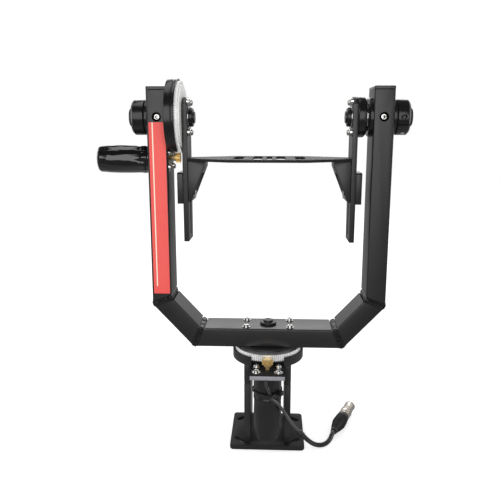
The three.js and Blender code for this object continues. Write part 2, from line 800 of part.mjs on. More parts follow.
function yoke() {
  const group = new THREE.Group();
  group.add(piece('left_upright', leftUpright(), blackCoat));
  group.add(piece('left_diagonal', tubeLength(1), blackCoat));
  group.add(piece('bottom_bar', bottomBar(), blackCoat));
  group.add(piece('right_diagonal', tubeLength(3), blackCoat));
  group.add(piece('right_upright', cut(tubeLength(4), ...uprightTools(1)), blackCoat));
  const capPlace = tubeInner + tubeWidth / 2;
  group.add(piece('left_end_cap', endCap(), blackPlastic, new THREE.Vector3(-capPlace, 0, yokeTop)));
  group.add(piece('right_end_cap', endCap(), blackPlastic, new THREE.Vector3(capPlace, 0, yokeTop)));

  const pan = panDrive();
  pan.add(piece('pan_gear', driveGear(), brightAluminium));
  pan.add(piece('pan_hub_flange', driveFlange(panFlangeRadius, panStack), blackAnodised));
  pan.add(piece('pan_shaft', panShaft(), bearingSteel));
  pan.add(piece('pan_retainer', panRetainer(), blackAnodised));
  pan.add(piece('pan_cap_nut', panCapNut(), blackAnodised, new THREE.Vector3(0, 0, barTop - driveHeight)));
  group.add(pan);

  const tilt = tiltDrive();
  const motorPlace = new THREE.Vector3(0, -motorReach, -tubeWall);
  tilt.add(piece('tilt_drum', driveDrum(), blackAnodised));
  tilt.add(piece('tilt_bearing', driveBearing(), bearingSteel));
  tilt.add(piece('tilt_gearbox', gearbox(), blackWrap, motorPlace));
  tilt.add(piece('tilt_motor', motorCan(tiltMotorLength), blackWrap, motorPlace));
  group.add(tilt);

  const leftFace = new THREE.Vector3(-tubeOuter, 0, tiltHeight);
  const rightFace = new THREE.Vector3(tubeOuter, 0, tiltHeight);
  const innerFace = new THREE.Vector3(tubeInner, 0, tiltHeight);
  const outerHousing = () => bearingHousing(outerFlangeRadius, outerFlange);
  group.add(piece('left_outer_housing', sideways(outerHousing(), -1), blackAnodised, leftFace));
  group.add(piece('left_outer_bearing', sideways(housedBearing(outerFlange), -1), bearingSteel, leftFace));
  group.add(piece('right_outer_housing', sideways(outerHousing(), 1), blackAnodised, rightFace));
  group.add(piece('right_outer_bearing', sideways(housedBearing(outerFlange), 1), bearingSteel, rightFace));
  const innerHousing = sideways(bearingHousing(innerFlangeRadius, innerFlange), -1);
  group.add(piece('right_inner_housing', innerHousing, blackAnodised, innerFace));
  group.add(piece('right_inner_bearing', sideways(housedBearing(innerFlange), -1), bearingSteel, innerFace));
  return group;
}

// Cradle

// Drawn as (y, z) about the tilt axis: a strap with a round head, a shaft hole and a long slot.
function cradleArm() {
  const half = armWidth / 2;
  const shoulder = Math.acos(half / armTopRadius);
  const slotBottom = armDrop - armSlotEndWall;
  const slotRun = slotBottom - armSlotTop - armSlotWidth;
  const shape = new THREE.Shape();
  shape.moveTo(-half, -armDrop);
  shape.lineTo(half, -armDrop);
  shape.absarc(0, 0, armTopRadius, shoulder, Math.PI - shoulder, false);
  shape.closePath();
  shape.holes.push(roundHole(shaftBore));
  shape.holes.push(slotHole(0, -(slotBottom + armSlotTop) / 2, slotRun, armSlotWidth, Math.PI / 2));
  return sideways(extruded(shape, armThickness), 1);
}

// Measured outwards from the middle of the head, alike on both sides.
function stubShaft() {
  const shoulder = armInner - nutWasherThickness;
  const inner = armInner - nutWasherThickness - shaftNutLength / 2;
  const outer = tubeOuter + outerFlange + collarLength;
  return turned([
    [0, inner], [threadRadius, inner], [threadRadius, shoulder], [shaftRadius, shoulder],
    [shaftRadius, outer], [0, outer],
  ], shaftSides);
}

function shaftNut() {
  const inner = armInner - shaftNutLength - nutWasherThickness;
  const outer = armInner - clearance;
  const bore = threadRadius + clearance;
  const counterbore = outer - nutWasherThickness - clearance;
  const boreBottom = armInner - nutWasherThickness - shaftNutLength / 2 - clearance;
  return turned([
    [0, inner], [shaftNutRadius - edgeChamfer, inner], [shaftNutRadius, inner + edgeChamfer],
    [shaftNutRadius, outer], [shaftBore, outer], [shaftBore, counterbore], [bore, counterbore],
    [bore, boreBottom], [0, boreBottom],
  ], roundSides);
}

function rightHub() {
  return turnedRing([
    [shaftBore, armOuter], [hubRadius, armOuter], [hubRadius, armOuter + hubLength - 2 * edgeChamfer],
    [hubRadius - 2 * edgeChamfer, armOuter + hubLength], [shaftBore, armOuter + hubLength],
  ]);
}

function rightSpacer() {
  const bottom = armOuter + hubLength;
  const top = tubeInner - innerFlange - clearance;
  return turnedRing([[shaftBore, bottom], [spacerRadius, bottom], [spacerRadius, top], [shaftBore, top]]);
}

// Split collar with a closed boss. The socket hole stands at the given angle, the split beside it.
function clampCollar(angle) {
  const start = tubeOuter + outerFlange + clearance;
  const end = start + collarLength;
  const boreEnd = end + clearance;
  const bossEnd = end + collarBossLength;
  const body = turned([
    [0, boreEnd], [shaftBore, boreEnd], [shaftBore, start], [collarRadius - edgeChamfer, start],
    [collarRadius, start + edgeChamfer], [collarRadius, end - collarChamfer],
    [collarRadius - collarChamfer, end], [collarBossRadius, end], [collarBossRadius, bossEnd - edgeChamfer],
    [collarBossRadius - edgeChamfer, bossEnd], [0, bossEnd],
  ]);
  const split = block(
    new THREE.Vector3(0, -collarSplit / 2, start - overrun),
    new THREE.Vector3(collarRadius + overrun, collarSplit / 2, end - collarChamfer / 2),
  );
  const socketBottom = collarRadius - collarSocketDepth;
  const socket = rod(collarSocketRadius, socketBottom, collarRadius + overrun, boltSides);
  return cut(
    body,
    split.rotateZ(angle + collarSplitAngle),
    socket.rotateY(Math.PI / 2).translate(0, 0, start + collarLength / 2).rotateZ(angle),
  );
}

function cradle() {
  const group = new THREE.Group();
  const axis = new THREE.Vector3(0, 0, tiltHeight);
  group.add(piece('left_arm', cradleArm(), blackCoat, new THREE.Vector3(-armOuter, 0, tiltHeight)));
  group.add(piece('right_arm', cradleArm(), blackCoat, new THREE.Vector3(armInner, 0, tiltHeight)));

  const tilt = tiltDrive();
  tilt.add(piece('tilt_gear', driveGear(), brightAluminium));
  tilt.add(piece('tilt_hub_flange', driveFlange(tiltFlangeRadius, tiltStack), brightAluminium));
  group.add(tilt);

  group.add(piece('left_shaft', sideways(stubShaft(), -1), bearingSteel, axis));
  group.add(piece('right_shaft', sideways(stubShaft(), 1), bearingSteel, axis));
  group.add(piece('left_shaft_nut', sideways(shaftNut(), -1), blackAnodised, axis));
  group.add(piece('right_shaft_nut', sideways(shaftNut(), 1), blackAnodised, axis));
  group.add(piece('right_hub', sideways(rightHub(), 1), blackAnodised, axis));
  group.add(piece('right_spacer', sideways(rightSpacer(), 1), bearingSteel, axis));
  group.add(piece('left_clamp_collar', sideways(clampCollar(Math.PI / 2), -1), blackAnodised, axis));
  group.add(piece('right_clamp_collar', sideways(clampCollar(Math.PI), 1), blackAnodised, axis));
  return group;
}

// Camera platform

function cameraPlatform() {
  const half = gussetOuter;
  const straight = platformStraight / 2;
  const side = platformDepth / 2;
  const end = platformEndDepth / 2;
  const shape = new THREE.Shape([
    [half, -end], [half, end], [straight, side], [-straight, side],
    [-half, end], [-half, -end], [-straight, -side], [straight, -side],
  ].map(([x, y]) => new THREE.Vector2(x, y)));
  const addSlot = (x, width, length) => {
    shape.holes.push(slotHole(x, 0, length - width, width, Math.PI / 2));
  };
  addSlot(0, centreSlotWidth, centreSlotLength);
  for (const sideX of [-1, 1]) {
    addSlot(sideX * innerSlotX, innerSlotWidth, innerSlotLength);
    addSlot(sideX * outerSlotX, outerSlotWidth, outerSlotLength);
  }
  return extruded(shape, platformThickness);
}

// A length of rectangular tube cut off on a slant, open below, with its back wall against the arm.
function gusset(side) {
  const outer = side * gussetOuter;
  const inner = side * (gussetOuter - gussetWidth);
  const foot = side * (gussetOuter - gussetWall);
  const shape = new THREE.Shape([
    [outer, gussetTop], [inner, gussetTop], [inner, gussetTop - gussetLip],
    [foot, gussetBottom], [outer, gussetBottom],
  ].map(([x, z]) => new THREE.Vector2(x, z)));
  const skin = standing(extruded(shape, armWidth), armWidth);
  const wallIn = side * (gussetOuter - gussetWidth + gussetWall);
  const hollow = block(
    new THREE.Vector3(Math.min(wallIn, foot), gussetWall - armWidth / 2, gussetBottom - overrun),
    new THREE.Vector3(Math.max(wallIn, foot), armWidth / 2 - gussetWall, gussetTop + overrun),
  );
  return cut(skin, hollow, ...boltHoles(side));
}

function boltHoles(side) {
  const start = gussetOuter - gussetWall - overrun;
  const end = armOuter + clampThickness / 2;
  return Object.values(clampBoltRises).map((rise) => (
    sideways(rod(clampBoltRadius + clearance, start, end), side).translate(0, 0, gussetBottom + rise)
  ));
}

function clampPlate(side) {
  const near = side * clampInner;
  const far = side * (clampInner + clampThickness);
  const plate = block(
    new THREE.Vector3(Math.min(near, far), -clampDepth / 2, clampBottom),
    new THREE.Vector3(Math.max(near, far), clampDepth / 2, clampBottom + clampHeight),
  );
  return cut(plate, ...boltHoles(side));
}

// The bolt's head is inside the gusset, and its shank passes the arm's slot into the clamp plate.
function clampBolt() {
  const seat = gussetOuter - gussetWall;
  const head = seat - clampHeadLength;
  const tip = armOuter + clampThickness / 2 - clearance;
  return turned([
    [0, head], [clampHeadRadius, head], [clampHeadRadius, seat], [clampBoltRadius, seat],
    [clampBoltRadius, tip], [0, tip],
  ], boltSides);
}

function platform() {
  const group = new THREE.Group();
  group.add(piece('camera_platform', cameraPlatform(), blackCoat, new THREE.Vector3(0, 0, gussetTop)));
  for (const [name, side] of [['left', -1], ['right', 1]]) {
    group.add(piece(`${name}_gusset`, gusset(side), blackCoat));
    group.add(piece(`${name}_clamp_plate`, clampPlate(side), blackCoat));
    for (const [level, rise] of Object.entries(clampBoltRises)) {
      const place = new THREE.Vector3(0, 0, gussetBottom + rise);
      group.add(piece(`${name}_clamp_bolt_${level}`, sideways(clampBolt(), side), nickel, place));
    }
  }
  return group;
}

// Drive pinions

function pinions() {
  const group = new THREE.Group();
  const pan = panDrive();
  pan.add(piece('pan_pinion', drivePinion(motorPlateThickness), brass, pinionPlace));
  const tilt = tiltDrive();
  tilt.add(piece('tilt_pinion', drivePinion(tubeWall), brass, pinionPlace));
  group.add(pan, tilt);
  return group;
}

const head = new THREE.Group();
head.name = 'remote_pan_tilt_head';
head.add(fixedBase(), yoke(), cradle(), platform(), pinions());

export default head;
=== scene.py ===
"""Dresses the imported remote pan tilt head.

Sizes are in millimetres and repeat the part's own. Pieces are made in metres, with X to the right, Y away
from the camera and Z up, from the middle of the base plate's underside.
"""
import logging
import math
from collections.abc import Iterable, Sequence
from dataclasses import dataclass, field
from enum import Enum

import bmesh
import bpy
from mathutils import Matrix, Vector, noise


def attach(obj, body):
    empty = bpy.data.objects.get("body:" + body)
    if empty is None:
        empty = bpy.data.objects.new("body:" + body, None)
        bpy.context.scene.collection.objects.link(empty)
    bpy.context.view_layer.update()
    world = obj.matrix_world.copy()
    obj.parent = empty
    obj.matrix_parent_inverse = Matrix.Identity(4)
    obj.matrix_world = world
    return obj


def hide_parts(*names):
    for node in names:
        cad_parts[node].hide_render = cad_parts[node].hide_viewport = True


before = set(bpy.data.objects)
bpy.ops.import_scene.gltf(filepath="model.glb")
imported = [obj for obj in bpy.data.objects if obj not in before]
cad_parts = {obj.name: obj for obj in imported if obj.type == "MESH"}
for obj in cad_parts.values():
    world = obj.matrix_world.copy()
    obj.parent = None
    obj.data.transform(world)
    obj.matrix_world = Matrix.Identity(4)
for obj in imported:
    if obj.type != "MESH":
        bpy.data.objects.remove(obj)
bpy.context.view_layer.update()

Shape = bmesh.types.BMesh
Piece = bpy.types.Object
Material = bpy.types.Material
Tree = bpy.types.NodeTree
Node = bpy.types.Node
Socket = bpy.types.NodeSocket
Colour = tuple[float, float, float, float]
Point = tuple[float, float]
Place = tuple[float, float, float]
MM = 0.001

# How high the two axes start, and how far each motor and pinion stands from its axis, in millimetres.
DRIVE_HEIGHT = 138.0
TILT_HEIGHT = 514.0
MOTOR_REACH = 62.0
PINION_REACH = 59.5
# Both gearboxes, the bores for their output shafts, the bolts that hold them, and every bore for a main shaft.
GEARBOX_RADIUS = 21.5
OUTPUT_BORE = 3.5
MOTOR_BOLT_X = 17.0
SHAFT_BORE = 8.8
# The direction of each side along X, and its name.
SIDES = ((-1, "left"), (1, "right"))


def shift(x: float, y: float, z: float) -> Matrix:
    """Moves by three distances."""
    return Matrix.Translation((x, y, z))


def about(axis: str, angle: float) -> Matrix:
    """Turns about an axis by an angle in degrees."""
    return Matrix.Rotation(math.radians(angle), 4, axis)


PAN_FRAME = shift(0, 0, DRIVE_HEIGHT)
TILT_FRAME = Matrix(((0, 0, 1, -150), (1, 0, 0, 0), (0, 1, 0, TILT_HEIGHT), (0, 0, 0, 1)))


def side_frame(side: int) -> Matrix:
    """Local +Z points out along X on one side of the tilt axis, and local +Y points up."""
    return Matrix(((0, 0, side, 0), (side, 0, 0, 0), (0, 1, 0, TILT_HEIGHT), (0, 0, 0, 1)))


def linked(name: str, data: bpy.types.ID) -> Piece:
    """Makes an object and links it to the scene.

    Args:
        name: The object's name.
        data: Its mesh, curve, light or camera.

    Returns:
        The object.
    """
    piece = bpy.data.objects.new(name, data)
    bpy.context.scene.collection.objects.link(piece)
    return piece


# Materials


def linear(code: str) -> Colour:
    """Turns an sRGB colour into linear RGBA.

    Args:
        code: The colour, such as #1d1d1e.

    Returns:
        The four linear values.
    """
    parts = [int(code[start : start + 2], 16) / 255 for start in (1, 3, 5)]
    red, green, blue = (p / 12.92 if p <= 0.04045 else ((p + 0.055) / 1.055) ** 2.4 for p in parts)
    return red, green, blue, 1.0


def add_node(tree: Tree, kind: str, settings: dict | None = None, inputs: dict | None = None) -> Node:
    """Adds a node to a tree.

    Args:
        tree: The node tree of a material or of the world.
        kind: The node's type, without its first part, ShaderNode.
        settings: Values of the node's own properties.
        inputs: What each socket gets, by name or number: a value, or another node's output.

    Returns:
        The new node.
    """
    node = tree.nodes.new(f"ShaderNode{kind}")
    for name, value in (settings or {}).items():
        setattr(node, name, value)
    for name, value in (inputs or {}).items():
        if isinstance(value, Socket):
            tree.links.new(value, node.inputs[name])
        else:
            node.inputs[name].default_value = value
    return node


def number(tree: Tree, operation: str, *values: float | Socket) -> Socket:
    """Computes one number from others."""
    return add_node(tree, "Math", {"operation": operation}, dict(enumerate(values))).outputs[0]


def vector(tree: Tree, operation: str, *vectors: Sequence[float] | Socket) -> bpy.types.bpy_prop_collection:
    """Computes with vectors, and gives both outputs, Vector and Value."""
    return add_node(tree, "VectorMath", {"operation": operation}, dict(enumerate(vectors))).outputs


def ranged(tree: Tree, value: Socket, source: Point, target: Point, smooth: bool = False) -> Socket:
    """Maps a number from one range to another.

    Args:
        tree: The node tree.
        value: The number.
        source: The range that it comes from.
        target: The range that it goes to. Nothing lies past its ends.
        smooth: Whether it eases in and out.

    Returns:
        The mapped number.
    """
    settings = {"interpolation_type": "SMOOTHSTEP" if smooth else "LINEAR"}
    names = ("Value", "From Min", "From Max", "To Min", "To Max")
    return add_node(tree, "MapRange", settings, dict(zip(names, (value, *source, *target)))).outputs[0]


def mixed(tree: Tree, share: Socket, first: Colour | Socket, second: Colour | Socket) -> Socket:
    """Mixes two colours."""
    return add_node(tree, "Mix", {"data_type": "RGBA"}, {0: share, 6: first, 7: second}).outputs[2]


def object_place(tree: Tree) -> Socket:
    """Gives each point's place in the object's own frame."""
    return add_node(tree, "TexCoord").outputs["Object"]


def axes(tree: Tree, value: Socket) -> bpy.types.bpy_prop_collection:
    """Takes a vector apart into outputs X, Y and Z."""
    return add_node(tree, "SeparateXYZ", {}, {"Vector": value}).outputs


def empty_material(name: str) -> tuple[Material, Tree, Node]:
    """Makes a material that holds only its output node.

    Args:
        name: The material's name.

    Returns:
        The material, its node tree and its output node.
    """
    material = bpy.data.materials.new(name)
    material.use_nodes = True
    material.node_tree.nodes.clear()
    return material, material.node_tree, add_node(material.node_tree, "OutputMaterial")


class Lathe(Enum):
    """The axis that a piece was turned about: its direction and a point on it in millimetres."""

    PAN = ((0.0, 0.0, 1.0), (0.0, 0.0, 0.0))
    TILT = ((1.0, 0.0, 0.0), (0.0, 0.0, TILT_HEIGHT))


@dataclass(frozen=True)
class Finish:
    """A surface treatment, from its colour to the relief that its making left on it, sizes in millimetres."""

    name: str
    slot: str
    colour: str
    shade: str
    roughness: Point
    grain: float
    relief: float
    metallic: float = 0.0
    coat: float = 0.0
    anisotropy: float = 0.0
    painted_white_rim: float = 0.0
    specular: float = 0.5
    patch: float = 45.0
    stretch: Place = (1.0, 1.0, 1.0)
    lathe: Lathe | None = None
    spread: Point = (0.1, 0.42)
    rim_fade: float = 0.5

    def turning_arm(self, tree: Tree) -> tuple[Socket, Socket]:
        """Gives the arm from the lathe to each point.

        Args:
            tree: The material's node tree.

        Returns:
            The arm, and the arm crossed with the axis, which points along the tool's cut.
        """
        axis, point = self.lathe.value
        arm = vector(tree, "SUBTRACT", object_place(tree), Vector(point) * MM)[0]
        return arm, vector(tree, "CROSS_PRODUCT", arm, axis)[0]

    def turned_face(self, tree: Tree) -> dict[str, Socket]:
        """Makes the face bare metal that mirrors along its rings, and leaves the rim outside it a plain diffuse white,
        a painted reflection.

        Args:
            tree: The material's node tree.

        Returns:
            The shader's tangent, turned with the body, and its metallic share.
        """
        cut = self.turning_arm(tree)[1]
        turned_with_body = {"vector_type": "VECTOR", "convert_from": "OBJECT", "convert_to": "WORLD"}
        tangent = add_node(tree, "VectorTransform", turned_with_body, {"Vector": cut}).outputs[0]
        edge = ((self.painted_white_rim - self.rim_fade) * MM, self.painted_white_rim * MM)
        bare = ranged(tree, vector(tree, "LENGTH", cut)["Value"], edge, (self.metallic, 0.0))
        return {"Tangent": tangent, "Metallic": bare}

    def pattern_vector(self, tree: Tree) -> Socket:
        """Gives the coordinates that the grain follows.

        Args:
            tree: The material's node tree.

        Returns:
            Object coordinates, stretched along the brushing, or the distance from the lathe's axis and along it.
        """
        if self.lathe is None:
            stretched = {"Vector": object_place(tree), "Scale": self.stretch}
            return add_node(tree, "Mapping", {}, stretched).outputs[0]
        arm, cut = self.turning_arm(tree)
        along = vector(tree, "DOT_PRODUCT", arm, self.lathe.value[0])["Value"]
        rings = {"X": vector(tree, "LENGTH", cut)["Value"], "Y": along}
        return add_node(tree, "CombineXYZ", {}, rings).outputs[0]

    def material(self) -> Material:
        """Builds the finish's nodes.

        Returns:
            The material, made once for each finish.
        """
        if self.name in bpy.data.materials:
            return bpy.data.materials[self.name]
        material, tree, output = empty_material(self.name)
        grains = {"Vector": self.pattern_vector(tree), "Scale": 1 / (self.grain * MM), "Detail": 3.0}
        grain = add_node(tree, "TexNoise", {}, grains).outputs["Fac"]
        patches = {"Vector": object_place(tree), "Scale": 1 / (self.patch * MM), "Detail": 2.0}
        blend = number(tree, "MULTIPLY", grain, add_node(tree, "TexNoise", {}, patches).outputs["Fac"])
        shade = ranged(tree, blend, self.spread, (0.0, 1.0))
        bump = {"Height": grain, "Distance": self.relief * MM, "Strength": 1.0}
        surface = {
            "Base Color": mixed(tree, shade, linear(self.colour), linear(self.shade)),
            "Roughness": ranged(tree, blend, self.spread, self.roughness),
            "Normal": add_node(tree, "Bump", {}, bump).outputs[0],
            "Metallic": self.metallic,
            "Coat Weight": self.coat,
            "Specular IOR Level": self.specular,
            "Anisotropic": self.anisotropy,
        }
        if self.painted_white_rim:
            surface |= self.turned_face(tree)
        shader = add_node(tree, "BsdfPrincipled", {}, surface)
        tree.links.new(shader.outputs[0], output.inputs["Surface"])
        return material


# Sprayed and baked polyester powder: satin, with a fine round orange peel that breaks up reflections. The
# real grain is about 0.3 mm and is drawn at 1.6 mm so that it shows.
POWDER_COAT = Finish(
    "satin_black_powder_coat", "black_coat", "#101011", "#161617", (0.36, 0.42), grain=1.6, relief=0.012, specular=0.6
)
# The same powder laid on thick: matt, so that a shallow view of the camera plate stays grey.
MATT_COAT = Finish(
    "matt_black_powder_coat", "black_coat", "#1a1a1b", "#202021", (0.52, 0.6), grain=1.6, relief=0.012, specular=0.22
)
# Powder coat over the welds, painted darker than the tubes' coat as shade in the ripples and in the slits beside each
# bead.
WELD_COAT_PAINTED_SHADE = Finish(
    "weld_coat_with_painted_shade", "black_coat", "#0c0c0d", "#141415", (0.34, 0.42), grain=2.4, relief=0.02, specular=0.45,
    patch=9,
)  # fmt: skip
# Blasted plate, black anodised: an even dark film on a matt ground that mirrors next to nothing.
BLASTED_BLACK = Finish(
    "blasted_black_anodising", "black_anodised", "#242425", "#2b2b2c", (0.56, 0.66), grain=1.4, relief=0.012,
    specular=0.14,
)  # fmt: skip
# Milled plate, black anodised: fine straight tool marks under an even dark film.
MILLED_BLACK = Finish(
    "milled_black_anodising", "black_anodised", "#202022", "#28282a", (0.34, 0.42), grain=2.0, relief=0.008,
    specular=0.45, stretch=(1, 6, 6),
)  # fmt: skip
# The drive plate's front edge: a pale grey, slightly metallic strip, painted on as the edge's highlight.
EDGE_HIGHLIGHT = Finish(
    "painted_edge_highlight", "black_anodised", "#96949b", "#a6a4aa", (0.5, 0.6), grain=1.2, relief=0.01, metallic=0.3
)
# Turned, black anodised: rings round the axis so fine that they only soften the highlights. The base's rings
# are the duller ones.
TURNED_BLACK_PAN = Finish(
    "turned_black_anodising_pan", "black_anodised", "#202022", "#252527", (0.34, 0.4), grain=0.9, relief=0.001,
    specular=0.35, lathe=Lathe.PAN,
)  # fmt: skip
TURNED_BLACK_TILT = Finish(
    "turned_black_anodising_tilt", "black_anodised", "#121213", "#171718", (0.2, 0.25), grain=0.9, relief=0.001,
    specular=0.42, lathe=Lathe.TILT,
)  # fmt: skip
# Bare turned aluminium: the rings of the pan gear's face mirror the dark room, and the teeth round it are a plain
# white, a painted reflection. The tilt gear is a near-white diffuse colour all over, the same painted reflection.
# Past its painted white rim the pan gear is diffuse white, a painted reflection of the bright metal.
BRIGHT_PAN = Finish(
    "turned_aluminium_pan", "bright_aluminium", "#ffffff", "#fbfbfb", (0.3, 0.34), grain=0.8, relief=0.001,
    metallic=0.9, anisotropy=0.9, painted_white_rim=51.8, lathe=Lathe.PAN,
)  # fmt: skip
# The tilt gear and its flange are a near-white diffuse colour, a painted reflection in place of the light that bare
# aluminium would mirror.
BRIGHT_TILT = Finish(
    "turned_aluminium_tilt", "bright_aluminium", "#fefefd", "#f8f8f7", (0.36, 0.39), grain=0.8, relief=0.001,
    metallic=0.15, lathe=Lathe.TILT,
)  # fmt: skip
# Ground bearing steel: slightly bluish grey, close rings, clean reflections.
STEEL_PAN = Finish(
    "ground_steel_pan", "steel", "#b9bcc0", "#9da1a6", (0.14, 0.26), grain=0.7, relief=0.002, metallic=1.0,
    lathe=Lathe.PAN,
)  # fmt: skip
STEEL_TILT = Finish(
    "ground_steel_tilt", "steel", "#c4c7ca", "#abafb3", (0.14, 0.24), grain=0.7, relief=0.002, metallic=1.0,
    lathe=Lathe.TILT,
)  # fmt: skip
# Nickel plating on screws: bright and smooth, so its curves show the black parts and the lit wall sharply.
NICKEL = Finish(
    "bright_nickel_plate", "nickel", "#e3e2e0", "#d6d4d1", (0.08, 0.13), grain=2.2, relief=0.002, metallic=1.0, patch=12
)
# Satin nickel on the connector's shell: warm grey with a soft sheen.
SATIN_NICKEL = Finish(
    "satin_nickel_shell", "nickel", "#bdb6ae", "#a39b92", (0.16, 0.26), grain=1.6, relief=0.003, metallic=1.0, patch=14
)
# Cut brass: pale yellow metal, with faint marks from the hob along the teeth.
BRASS = Finish(
    "hobbed_brass", "brass", "#fbe2a4", "#ecc67e", (0.26, 0.34), grain=0.8, relief=0.002, metallic=0.8, patch=8
)
# Heat-shrink film over the pan motor: drawn tight, with a dull sheen and soft creases.
DULL_FILM = Finish(
    "dull_shrink_film", "black_wrap", "#101011", "#161618", (0.28, 0.34), grain=6.0, relief=0.012, patch=25
)
# The thicker film over the tilt motor: high gloss, so that it shows each lamp as a band with a sharp border.
GLOSS_FILM = Finish(
    "glossy_shrink_film", "black_wrap", "#040405", "#08080a", (0.08, 0.13), grain=7.0, relief=0.02, coat=0.5, patch=25
)
# Moulded polyamide: ties and tube caps, glossy where the mould was polished.
MOULDED = Finish(
    "moulded_black_polyamide", "black_plastic", "#101011", "#19191a", (0.2, 0.3), grain=1.4, relief=0.006
)
# The motor lead's thin vinyl skin: high gloss, so that a white line runs along it.
LEAD_SKIN = Finish(
    "glossy_vinyl_lead", "black_plastic", "#0c0c0d", "#121213", (0.1, 0.16), grain=3.0, relief=0.003, coat=1.0,
    specular=0.9,
)  # fmt: skip
# Extruded cable jacket: dark vinyl with a satin skin that carries one long highlight.
JACKET = Finish(
    "extruded_vinyl_jacket", "rubber", "#1e1e1f", "#262627", (0.3, 0.38), grain=1.4, relief=0.01, patch=18
)
# Moulded boot: matt rubber with a dry, slightly dusty skin.
RUBBER = Finish(
    "matte_black_rubber", "rubber", "#0c0c0d", "#141415", (0.44, 0.56), grain=1.2, relief=0.02, specular=0.38, patch=18
)


# Shapes, in millimetres


def clean(shape: Shape) -> None:
    """Merges a shape's doubles and turns its faces outward."""
    bmesh.ops.remove_doubles(shape, verts=shape.verts[:], dist=1e-4)
    bmesh.ops.recalc_face_normals(shape, faces=shape.faces[:])


def turned(profile: Sequence[Point], steps: int = 64, closed: bool = False) -> Shape:
    """Spins a profile about Z.

    Args:
        profile: Points as (radius, height).
        steps: How many facets go round.
        closed: Whether the last point joins the first, as on a ring.

    Returns:
        A closed shape.
    """
    shape = bmesh.new()
    rim = [shape.verts.new((radius, 0.0, height)) for radius, height in profile]
    ahead = rim[1:] + rim[:1] if closed else rim[1:]
    edges = [shape.edges.new(pair) for pair in zip(rim, ahead)]
    bmesh.ops.spin(
        shape, geom=rim + edges, cent=(0, 0, 0), axis=(0, 0, 1), angle=math.tau, steps=steps, use_merge=True
    )
    clean(shape)
    return shape


def ring(inner: float, outer: float, low: float, high: float, steps: int) -> Shape:
    """Turns a plain ring, or a disc where the inner radius is 0."""
    return turned([(inner, low), (outer, low), (outer, high), (inner, high)], steps, closed=inner > 0)


def prism(outline: Sequence[Point], bottom: float, top: float) -> Shape:
    """Extrudes a flat outline along Z.

    Args:
        outline: Corner points.
        bottom: The lower height.
        top: The upper height.

    Returns:
        A closed prism.
    """
    shape = bmesh.new()
    base = shape.faces.new([shape.verts.new((x, y, bottom)) for x, y in outline])
    lifted = bmesh.ops.extrude_face_region(shape, geom=[base])["geom"]
    upper = [item for item in lifted if isinstance(item, bmesh.types.BMVert)]
    bmesh.ops.translate(shape, verts=upper, vec=(0, 0, top - bottom))
    bmesh.ops.recalc_face_normals(shape, faces=shape.faces[:])
    return shape


def block(low: Place, high: Place) -> Shape:
    """Makes a box between two corners."""
    outline = [(low[0], low[1]), (high[0], low[1]), (high[0], high[1]), (low[0], high[1])]
    return prism(outline, low[2], high[2])


def placed(shape: Shape, *matrices: Matrix) -> Shape:
    """Moves a shape.

    Args:
        shape: The shape to move.
        matrices: The moves. The last one comes first.

    Returns:
        The same shape.
    """
    for matrix in reversed(matrices):
        bmesh.ops.transform(shape, matrix=matrix, verts=shape.verts[:])
    return shape


def bevel(shape: Shape, edges: Sequence[bmesh.types.BMEdge], width: float, segments: int, clamp: bool = False) -> None:
    """Rounds some edges of a shape."""
    bmesh.ops.bevel(
        shape, geom=edges, offset=width, segments=segments, profile=0.5, affect="EDGES", material=-1,
        clamp_overlap=clamp,
    )  # fmt: skip


def softened(shape: Shape, width: float, segments: int = 2) -> Shape:
    """Rounds the edges that turn more than 30 degrees.

    Args:
        shape: The shape to work on.
        width: The rounding's width.
        segments: How many facets it has.

    Returns:
        The same shape.
    """
    edges = [e for e in shape.edges if len(e.link_faces) == 2 and e.calc_face_angle() > math.radians(30)]
    bevel(shape, edges, width, segments, clamp=True)
    return shape


def mesh_of(shape: Shape, name: str = "scratch") -> bpy.types.Mesh:
    """Turns a shape into a mesh.

    Args:
        shape: The shape, which is used up.
        name: The mesh's name.

    Returns:
        The mesh.
    """
    mesh = bpy.data.meshes.new(name)
    shape.to_mesh(mesh)
    shape.free()
    return mesh


def shape_of(holder: Piece) -> Shape:
    """Takes an object's finished mesh as a shape.

    Args:
        holder: An object that is used up.

    Returns:
        The clean shape.
    """
    graph = bpy.context.evaluated_depsgraph_get()
    mesh = bpy.data.meshes.new_from_object(holder.evaluated_get(graph))
    bpy.data.objects.remove(holder)
    shape = bmesh.new()
    shape.from_mesh(mesh)
    bpy.data.meshes.remove(mesh)
    clean(shape)
    return shape


def carved(shape: Shape, *tools: Shape) -> Shape:
    """Cuts tools out of a shape.

    Args:
        shape: The shape to cut.
        tools: Closed shapes that are used up.

    Returns:
        What is left.
    """
    target, *holders = (linked("scratch", mesh_of(item)) for item in (shape, *tools))
    for holder in holders:
        cutter = target.modifiers.new("cut", "BOOLEAN")
        cutter.operation = "DIFFERENCE"
        cutter.solver = "EXACT"
        cutter.object = holder
    result = shape_of(target)
    for holder in holders:
        bpy.data.objects.remove(holder)
    return result


def joined(shapes: Iterable[Shape]) -> Shape:
    """Puts several shapes into one.

    Args:
        shapes: The shapes, which are used up.

    Returns:
        The whole.
    """
    whole = bmesh.new()
    for shape in shapes:
        mesh = mesh_of(shape)
        whole.from_mesh(mesh)
        bpy.data.meshes.remove(mesh)
    return whole


